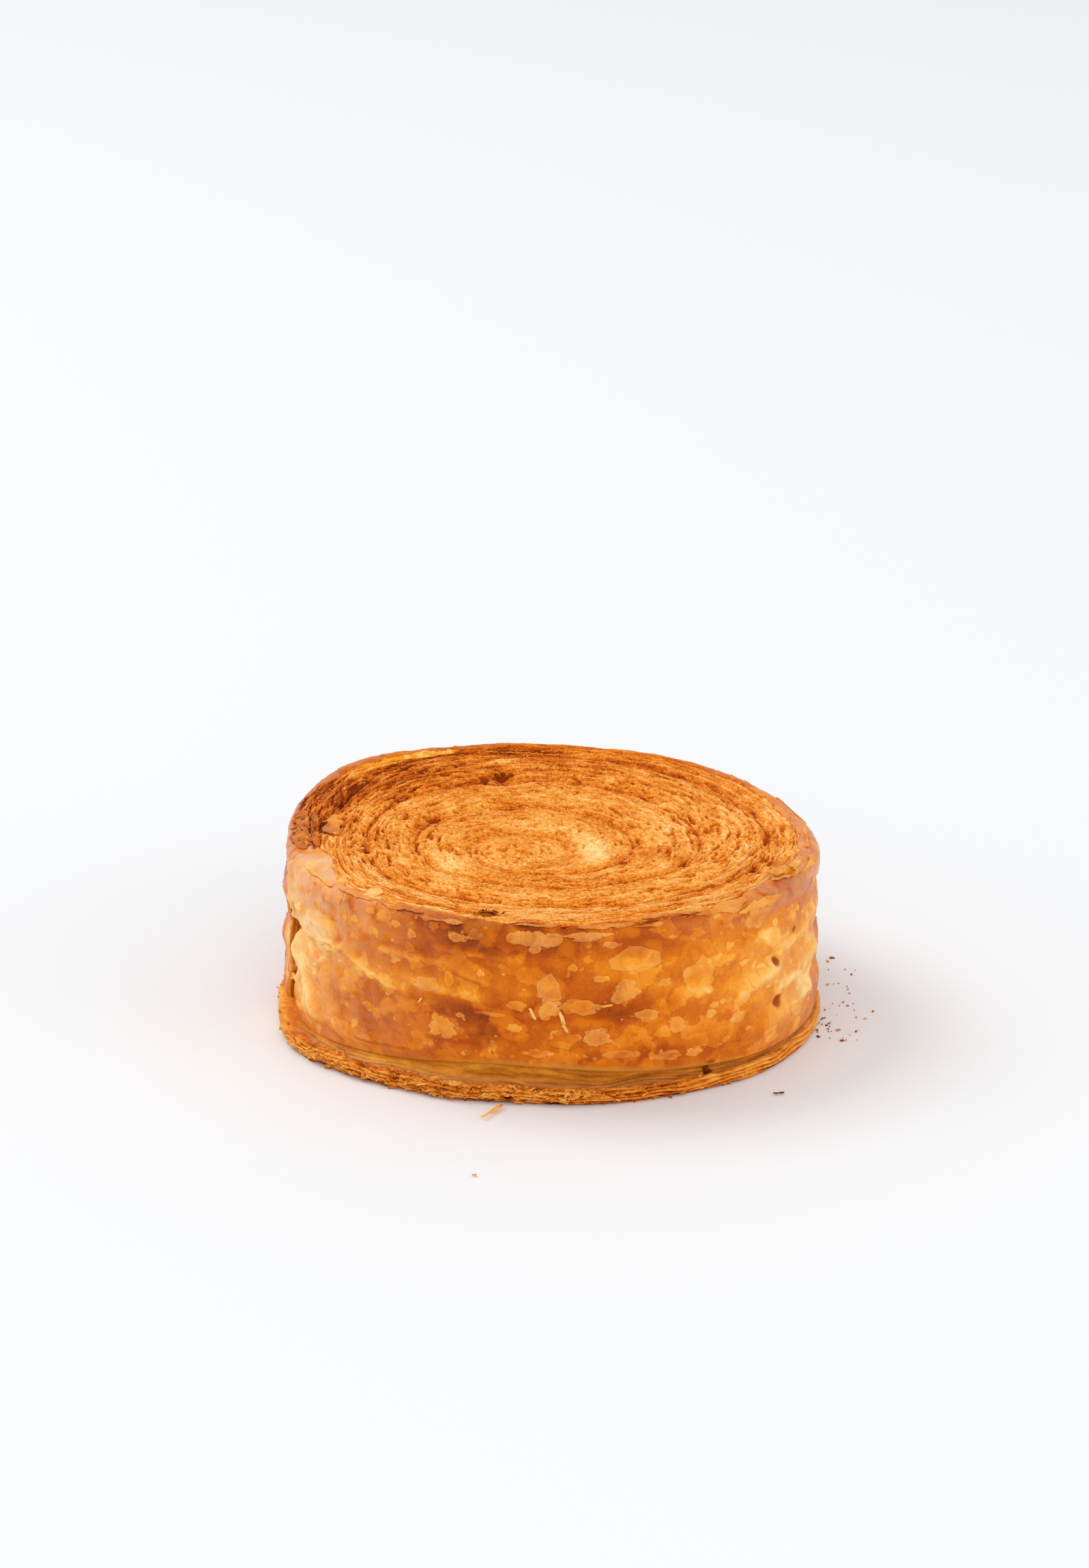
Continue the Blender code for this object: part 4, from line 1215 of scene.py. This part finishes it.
def foot_crags(turn, radius, height):
    """How far out and up a place on the foot stands, how near the edge it is, and how broken:
    layers, a sine up the edge whose phase wanders, plus crags of noise. The right and the far
    left keep their layers whole."""
    places = ring_at(radius, height, turn)
    wander = grain(places, (9, 9, 3), 61)
    crag = (0.6 * grain(places, (3.4, 3.4, 1.1), 62) + 0.4 * grain(places, (1.4, 1.4, 0.5), 63)
            + 0.4 * grain(places, (6, 6, 3), 64))
    layer = np.sin(2 * np.pi * height / 0.8 + 6 * wander) * (1 - 0.8 * hump(turn, -171, 13))
    edge = ease(radius - (foot_radius(turn) - 2.2), 0, 1.4)
    broken = 1 - 0.85 * np.minimum(0.75 * hump(turn, -12, 46) + hump(turn, -171, 15), 1)
    out = edge * (0.30 * np.sign(layer) * np.abs(layer) ** 0.6 + crag * broken)
    up = (0.25 + 0.5 * edge) * crag * broken * ease(height, 0, 1.0)
    return np.clip(out, -1.4, 0.7), up, edge, broken


def foot_profile(turn, share):
    """The foot's edge from its top, at share 0, to the table: a bulge, tucked in below where
    its layers are broken."""
    tuck = 0.9 - 0.85 * np.minimum(hump(turn, -22, 40) + 0.8 * hump(turn, -171, 14), 1)
    bulge = 0.7 * np.sin(np.pi * (0.15 + 0.75 * share))
    pulled_in = 0.6 + 0.7 * hump(turn, -172, 9)
    return foot_radius(turn) - pulled_in + bulge - tuck * share**3, shelf_height(turn) * (1 - share)


def foot_ledge():
    """A closed ring: out over the shelf, down the craggy edge, and back inside."""
    turn = np.linspace(-180, 180, FOOT_COLUMNS, endpoint=False)
    crust = crust_foot_radius(turn)
    shelf = shelf_height(turn)
    begin, stop = crust - UNDERCUT - 1.0, foot_radius(turn) - 0.6
    across = np.linspace(0, 1, SHELF_ROWS, endpoint=False)[:, None]
    edge_radius, edge_height = foot_profile(turn, np.linspace(0, 1, EDGE_ROWS)[:, None])
    radius = np.concatenate([begin + (stop - begin) * across, edge_radius])
    height = np.concatenate([shelf + 0 * across, edge_height])
    out, up, edge, broken = foot_crags(turn, radius, height)
    radius = radius + out * ease(height, -0.6, 0.6)
    height = np.maximum(height + up, 0.0)
    # Darker low down, browned on the tray and partly painted contact shade, and darker where the crags sink
    # in: painted shade in the hollows.
    toast_and_shading = 0.50 + 0.45 * (1 - ease(height, 0.1, 0.9)) - 0.55 * np.maximum(out, -1)
    toast_and_shading = toast_and_shading + 0.25 * (1 - edge) - 0.16 * (1 - broken)
    toast_and_shading = toast_and_shading - 0.2 * hump(turn, -169, 9) * ease(height, 0.5, 4)
    toast_and_shading = toast_and_shading - 0.10 * hump(turn, -152, 26) - 0.08 * hump(turn, -12, 30)
    pale = (1 - edge) * (0.3 + 0.7 * hump(turn, -120, 40)) * (1 - hump(turn, -169, 12))
    inside = [ring_at(crust - 8, 0, turn), ring_at(crust - 8, shelf + 3, turn),
              ring_at(crust - UNDERCUT - 0.6, shelf + 2.6, turn),
              ring_at(crust - UNDERCUT - 0.7, shelf + 0.2, turn)]
    points = np.concatenate([ring_at(radius, height, turn), inside])
    faces, flat = grid_faces(len(points), FOOT_COLUMNS, True, True)
    picture = in_strips(flat, FOOT_COLUMNS, FOOT_COLUMNS // 3 + 1, 3, 0.97 / 3, 1 / 3)
    make_piece("foot_ledge", points, [faces], foot_finish,
               with_pad({"toast_and_shading": toast_and_shading, "pale": pale}, 4 * FOOT_COLUMNS, 0.8, 0.5), [picture])


FOOT_TONES = tones((0, 254, 192, 94), (0.3, 240, 152, 54), (0.55, 212, 112, 20),
                   (0.78, 160, 70, 8), (1, 80, 22, 0))


def foot_look(start, places):
    """Toast and painted shade from the mesh, fine layers and crumbs by noise that is flat in
    height.
    """
    squashed = start.add("Mapping", {"Vector": places, "Scale": (1, 1, 3.5)})
    fine = start.noise(squashed, 1.1, 4.0, 0.65)
    coarse = start.noise(squashed, 4.0, 2.0)
    tone = start.field("toast_and_shading") + (fine - 0.5) * 0.6 + (coarse - 0.5) * 0.3
    colour = start.add("ValToRGB", {"Fac": tone}, stops=FOOT_TONES)
    grey = start.noise(places, 1.5, 3.0).between(0.35, 0.65)
    colour = start.mix(start.field("pale") * grey * 0.8, colour, baked(228, 180, 128))
    return start.surface(colour, fine, 0.6, 0.4)


foot_finish = finish_with("crumbly foot", 0.6, 0.25, foot_look)
foot_ledge()

# ------------------------------------------------------------------------------------------
# Flakes of the foot: scraps of the thin layers, broken and curled, standing out all along its
# edge and lying on its shelf.

FOOT_FLAKES = 1300
PLATE_CELLS = (4, 2)


def plates(middle, way, facing, long, wide, thick, curl, draw, cells=PLATE_CELLS):
    """Thin curled scraps, closed all round. Each is a small grid, an oval in plan with its
    edge jittered, bent by curl * along^2; its lower face is the same grid a thickness below.
    Nothing reaches under the table. Returns the points, scrap by scrap, and the faces."""
    rows, columns = cells[0] + 1, cells[1] + 1
    along, across = np.meshgrid(np.linspace(-1, 1, rows), np.linspace(-1, 1, columns), indexing="ij")
    jitter = draw.uniform(-1, 1, (3, len(middle), rows, columns))
    half, wide, curl = long[:, None, None] / 2, wide[:, None, None], curl[:, None, None]
    x = half * (along + 0.2 * jitter[0])
    y = wide / 2 * (across * np.sqrt(1 - 0.55 * along**2) + 0.4 * jitter[1])
    z = half * curl * along**2 + 0.12 * wide * jitter[2]
    sheet = middle[:, None, None]
    for off, axis in ((x, way), (y, np.cross(facing, way)), (z, facing)):
        sheet = sheet + off[..., None] * axis[:, None, None]
    step = facing[:, None, None] * np.reshape(thick, (-1, 1, 1, 1)) / 2
    points = np.stack([sheet + step, sheet - step], axis=1)
    points[..., 2] = np.maximum(points[..., 2], 0.02)
    return points.reshape(len(middle), -1, 3), slab_faces(rows, columns, len(middle))


def foot_flakes():
    """Scraps at random turns. Most lie nearly flat in the edge's layers, some stand up, and
    about one in seven lies on the shelf."""
    draw = np.random.default_rng(121)
    turn = draw.uniform(-180, 180, FOOT_FLAKES)
    crumbly = 0.02 + 0.9 * hump(turn, -118, 44) + 0.5 * hump(turn, 120, 60)
    crumbly = crumbly * (1 - hump(turn, -175, 19))
    turn = np.where(draw.random(FOOT_FLAKES) < crumbly, turn, draw.normal(-110, 22, FOOT_FLAKES))
    on_shelf = draw.random(FOOT_FLAKES) < 0.14
    radius, height = foot_profile(turn, draw.uniform(0.0, 0.95, FOOT_FLAKES))
    radius = np.where(on_shelf, foot_radius(turn) - 0.3 - 2.2 * draw.random(FOOT_FLAKES) ** 2, radius)
    height = np.where(on_shelf, shelf_height(turn) + 0.1, height)
    out, up, _, _ = foot_crags(turn, radius, height)
    height = height + up
    middle = ring_at(radius + out + draw.uniform(-0.25, 0.2, FOOT_FLAKES), height, turn)
    tangent, outward = ring_at(1, 0, turn + 90), ring_at(1, 0, turn)
    way = unit(tangent + 0.45 * draw.normal(size=(FOOT_FLAKES, 1)) * outward
               + 0.28 * draw.normal(size=(FOOT_FLAKES, 1)) * UP)
    tilt = draw.normal(0.2, 0.6, (FOOT_FLAKES, 1))
    facing = unit(UP + tilt * outward + 0.3 * draw.normal(size=(FOOT_FLAKES, 1)) * tangent)
    facing = unit(facing - (facing * way).sum(-1, keepdims=True) * way)
    long = 0.4 + 1.8 * draw.random(FOOT_FLAKES) ** 3
    wide = np.minimum(long * draw.uniform(0.3, 0.7, FOOT_FLAKES), 0.9)
    curl = draw.normal(0.0, 0.35, FOOT_FLAKES)
    thick = draw.uniform(0.08, 0.18, FOOT_FLAKES)
    points, faces = plates(middle, way, facing, long, wide, thick, curl, draw)
    # Darker low down, browned and partly painted contact shade, and darker where they sit in the crags'
    # hollows: painted shade.
    tone = draw.uniform(0.14, 0.52, FOOT_FLAKES) + 0.4 * (1 - ease(height, 0.2, 1.0)) - 0.35 * out
    toast_and_shading = tone[:, None] + draw.uniform(-0.08, 0.08, points.shape[:2])
    make_piece("foot_flakes", points, faces, foot_finish, {"toast_and_shading": toast_and_shading})


foot_flakes()

# ------------------------------------------------------------------------------------------
# The strip's loose end at the left: the last turn's layers stop there one behind another,
# their browned edges ragged, with crumpled scraps on top and a pale puffed flap at the foot.

SHEETS = 8
SHEET_STEP = 0.31
SHEET_THICK = 0.17
SHEET_ROWS = 90
TAIL_SCRAPS = 40
BURNT_CRUMBS = 26
SCRAP_THICK = 0.16
# Single shards stuck to the crust: turn, run, length, width, curl, lift, slant and tone
SHARDS = (
    (-27.5, 38.6, 7.6, 2.4, 0.10, 0.75, -12, 0.30), (-25.0, 38.0, 3.0, 1.8, 0.3, 0.9, 20, 0.25),
    (-141, 25.8, 6.0, 1.3, 0.05, 0.3, 4, 0.05), (-87, 17.5, 5.0, 0.8, 0.05, 0.35, 108, 0.12),
    (-93.2, 19.2, 2.6, 0.6, 0.1, 0.35, 118, 0.12), (-78, 20.6, 2.2, 0.5, 0.05, 0.3, 4, 0.2),
    (-118, 19.4, 1.5, 0.4, 0.1, 0.3, 50, 0.1),
)


def tail_sheets():
    """Each sheet is a strip up the side, four points around and many up: from behind the end
    of the crust to a ragged edge, whose turn is noise along the height."""
    low = crust_edge_height(TAIL_TURN)
    run = np.linspace(low - 1.5, rim_height(TAIL_TURN) + 0.6 * RIM_ARC, SHEET_ROWS)
    places, _ = skin_at(np.full(SHEET_ROWS, TAIL_TURN - 0.3), run)
    height = places[:, 2] + np.minimum(run - low, 0)
    number = np.arange(SHEETS)[:, None]
    seed = on_map(7.7 * number, run)
    ragged = 0.9 * grain(seed, (1, 6, 1), 131) + 0.6 * grain(seed, (1, 1.6, 1), 132)
    end = np.maximum(TAIL_TURN + TAIL_LAP + 0.1 + 0.05 * number + 0.5 * ragged, TAIL_TURN + 0.3)
    outer = (np.hypot(places[:, 0], places[:, 1]) - 0.05 - SHEET_STEP * number
             + 0.16 * grain(seed, (1, 4, 1), 133))
    inner = outer - SHEET_THICK
    points = [ring_at(far, height, end + back)
              for far, back in ((inner, -4), (outer, -4), (outer, 0), (inner, 0))]
    tone = 0.62 + 0.25 * grain(seed, (1, 3, 1), 134)
    edge_tone = tone - 0.12 * (number % 3 == 0)
    make_piece("tail_sheets", np.stack(points, 1), bar_faces(SHEET_ROWS, SHEETS), foot_finish,
               {"toast_and_shading": np.stack([tone, tone, edge_tone, edge_tone], 1)})


def scraps(name, rows, seed, finish, tilt=0.5, cells=(7, 4)):
    """Larger crumpled plates on the skin: each row gives turn, run, length, width, curl, lift,
    the slant of its length from level in degrees, and its tone."""
    draw = np.random.default_rng(seed)
    turn, run, long, wide, curl, lift, slant, tone = np.transpose(rows)
    places, facing, _ = crust_at(turn, run)
    level = ring_at(1, 0, turn + 90)
    angle = np.radians(slant)[:, None]
    way = unit(level * np.cos(angle) + np.cross(facing, level) * np.sin(angle))
    facing = unit(facing + tilt * draw.normal(size=(len(rows), 1)) * np.cross(facing, way))
    points, faces = plates(places + facing * lift[:, None], way, facing, long, wide, SCRAP_THICK,
                           curl, draw, cells)
    toast_and_shading = tone[:, None] + draw.uniform(-0.06, 0.06, points.shape[:2])
    make_piece(name, points, faces, finish, {"toast_and_shading": toast_and_shading})


def crumpled_scraps():
    """Scraps drawn at random over the top of the loose end, then the burnt crumbs."""
    draw = np.random.default_rng(136)
    count = TAIL_SCRAPS
    turn = draw.uniform(172.5, 191, count)
    run = rim_height(turn) + draw.uniform(2.4, 8.0, count)
    dark = draw.random(count) < 0.6
    tone = np.where(dark, draw.uniform(0.55, 0.9, count), draw.uniform(0.1, 0.45, count))
    rows = [turn, run, draw.uniform(1.2, 3.6, count), draw.uniform(0.3, 0.8, count),
            draw.normal(0.0, 0.3, count), draw.uniform(0.05, 0.4, count),
            draw.normal(8, 16, count), tone]
    scraps("tail_scraps", np.transpose(rows), 137, foot_finish)
    burnt_crumbs(draw, BURNT_CRUMBS)


def burnt_crumbs(draw, count):
    """A burnt spot on the front rim, and six larger crumbs of it low at the right."""
    rows = [draw.normal(-103.5, 1.5, count), 41.2 + draw.normal(0, 0.7, count),
            draw.uniform(0.4, 1.3, count), draw.uniform(0.3, 0.7, count),
            draw.normal(0, 0.3, count), draw.uniform(0.0, 0.35, count),
            draw.uniform(-90, 90, count), draw.uniform(0.55, 1.0, count)]
    burnt = np.transpose(rows)
    burnt[:6] = burnt[:6] * [1, 1, 1.7, 1.7, 1, 1, 1, 0] + [48.4, -37.2, 0, 0, 0, 0, 0, 0.95]
    scraps("burnt_crumbs", burnt, 140, foot_finish, cells=PLATE_CELLS)


tail_sheets()
crumpled_scraps()
scraps("stuck_shards", SHARDS, 139, crust_finish, 0.1)

# ------------------------------------------------------------------------------------------
# The underside: the strip's other cut edge, pressed flat and browned on the baking tray. The
# same spiral shows there, seen from below.

UNDER_CELLS = 150


def under_look(start, places):
    """Toast from the mesh with the fine grain of dough pressed against the tray."""
    fine = start.noise(places, 0.7, 3.0, 0.6)
    coarse = start.noise(places, 7.0, 3.0)
    tone = start.field("toast_and_shading") + (fine - 0.5) * 0.5 + (coarse - 0.5) * 0.5
    return start.surface(start.add("ValToRGB", {"Fac": tone}, stops=FOOT_TONES), fine, 0.4, 0.3)


under_finish = finish_with("browned underside", 0.5, 0.3, under_look, (1, 1, 1, 1))


def underside():
    """A disc with the spiral's seams as shallow grooves, and a nearly flat upper face."""
    ring, turn = disc_shares(UNDER_CELLS)
    plan = ring_at((foot_radius(turn) - 1.6) * ring, 0, turn)
    wound = spiral(ring, turn)
    streak = grain(on_map(*strip_place(ring, turn)), (1.3, 11, 1), 66)
    groove = bell((wound - np.round(wound)) / 0.05) * ease(ring, 0.05, 0.2) * (1 - ease(ring, 0.9, 0.96))
    worn = ease(grain(plan, 5, 67), 0.1, 0.5) + ease(streak, 0.2, 0.7)
    rise = 0.02 + 0.35 * groove + 0.18 * worn * (1 - ease(ring, 0.93, 0.99))
    toast_and_shading = 0.62 + 0.3 * groove + 0.2 * worn - 0.15 * streak
    make_piece("underside", np.stack([plan + rise[..., None] * UP, plan + 1.2 * UP]),
               slab_faces(UNDER_CELLS + 1, UNDER_CELLS + 1, 1), under_finish,
               {"toast_and_shading": np.stack([toast_and_shading, toast_and_shading])})


underside()

# ------------------------------------------------------------------------------------------
# The table it was photographed on: a smooth white top, with a golden shard, a dark sliver
# and a drift of crumbs that came off the roll lying loose on it. It is all stage.

TABLE_SIZE = 12.0
DRIFT = 50
NEAR_DRIFT = 16


def table_top():
    half = TABLE_SIZE / 2
    mesh = bpy.data.meshes.new("table_top")
    mesh.from_pydata([(-half, -half, 0), (half, -half, 0), (half, half, 0), (-half, half, 0)],
                     [], [(0, 1, 2, 3)])
    material = bpy.data.materials.new("white table")
    material.use_nodes = True
    shader = material.node_tree.nodes["Principled BSDF"].inputs
    shader["Base Color"].default_value = (0.878, 0.892, 0.908, 1)
    shader["Roughness"].default_value = 0.7
    shader["Specular IOR Level"].default_value = 0.2
    mesh.materials.append(material)
    into_scene(bpy.data.objects.new("table_top", mesh))


def table_crumbs():
    """Scraps that came off the roll: a golden shard in front, a dark sliver at the right, and
    a drift of tiny ones at the right. They belong to the table, not to the roll."""
    draw = np.random.default_rng(151)
    near = np.arange(DRIFT) < NEAR_DRIFT  # these fell close to the foot
    x = draw.normal(np.where(near, 56.5, 62.5), np.where(near, 1.6, 3.2))
    y = np.where(near, draw.normal(-13, 2.5, DRIFT), draw.uniform(-24, 26, DRIFT))
    drift = on_map(np.maximum(x, np.where(near, 55.5, 57.8)), y)
    middle = np.concatenate([[[-10.9, -59.7, 0.5], [45.8, -50.0, 0.25], [-14, -90, 0.15]], drift])
    long = np.concatenate([[7.2, 2.2, 0.8], 0.25 + 0.9 * draw.random(DRIFT) ** 3])
    wide = np.concatenate([[0.9, 0.5, 0.5], long[3:] * draw.uniform(0.4, 0.8, DRIFT)])
    turn = np.concatenate([[58, 8, 0], draw.uniform(0, 360, DRIFT)])
    points, faces = plates(middle + 0.2 * UP, ring_at(1, 0, turn), ring_at(0, 1, turn), long, wide,
                           SCRAP_THICK, 0 * long + 0.02, draw)
    points[..., 2] = np.maximum(points[..., 2], 0.03)
    tone = np.concatenate([[-0.1, 0.95, 0.3], draw.uniform(0.2, 1.0, DRIFT)])
    toast_and_shading = np.repeat(tone, points.shape[1])
    mesh_of("table_crumbs", points, faces, foot_finish, {"toast_and_shading": toast_and_shading})


table_top()
table_crumbs()

# ------------------------------------------------------------------------------------------
# The light and the camera: three soft square lights and an even white surround, which leave
# only faint shadows, and a long lens that looks a little down on the roll.

CAMERA_AT = (-0.000613, -0.84992, 0.335548)
CAMERA_PITCH = 71.329333
CAMERA_LENS = 100.0
SENSOR = 36.0
AIM = np.array([0, 0, 0.02])  # the lights are turned towards this place, in metres


def light(name, place, size, power):
    """A square soft light at a place in metres."""
    lamp = bpy.data.lights.new(name, "AREA")
    lamp.shape = "SQUARE"
    lamp.size = size
    lamp.energy = power
    holder = into_scene(bpy.data.objects.new(name, lamp))
    holder.visible_camera = False
    x, y, z = AIM - place
    holder.location = place
    holder.rotation_euler = (np.arctan2(np.hypot(x, y), -z), 0, np.arctan2(-x, y))


light("key", (-1.65, 0.77, 2.09), 1.5, 27.0)
light("front", (0.22, -2.86, 1.54), 2.0, 20.0)
light("side", (2.42, -1.32, 1.21), 1.5, 12.0)

world = bpy.data.worlds.new("studio")
world.use_nodes = True
world.node_tree.nodes["Background"].inputs["Color"].default_value = (1, 1, 1, 1)
world.node_tree.nodes["Background"].inputs["Strength"].default_value = 0.725
bpy.context.scene.world = world

camera = into_scene(bpy.data.objects.new("camera", bpy.data.cameras.new("camera")))
camera.data.lens = CAMERA_LENS
camera.data.sensor_width = SENSOR
camera.location = CAMERA_AT
camera.rotation_euler = (np.radians(CAMERA_PITCH), 0, 0)
bpy.context.scene.camera = camera
bpy.context.scene.view_settings.view_transform = "Standard"
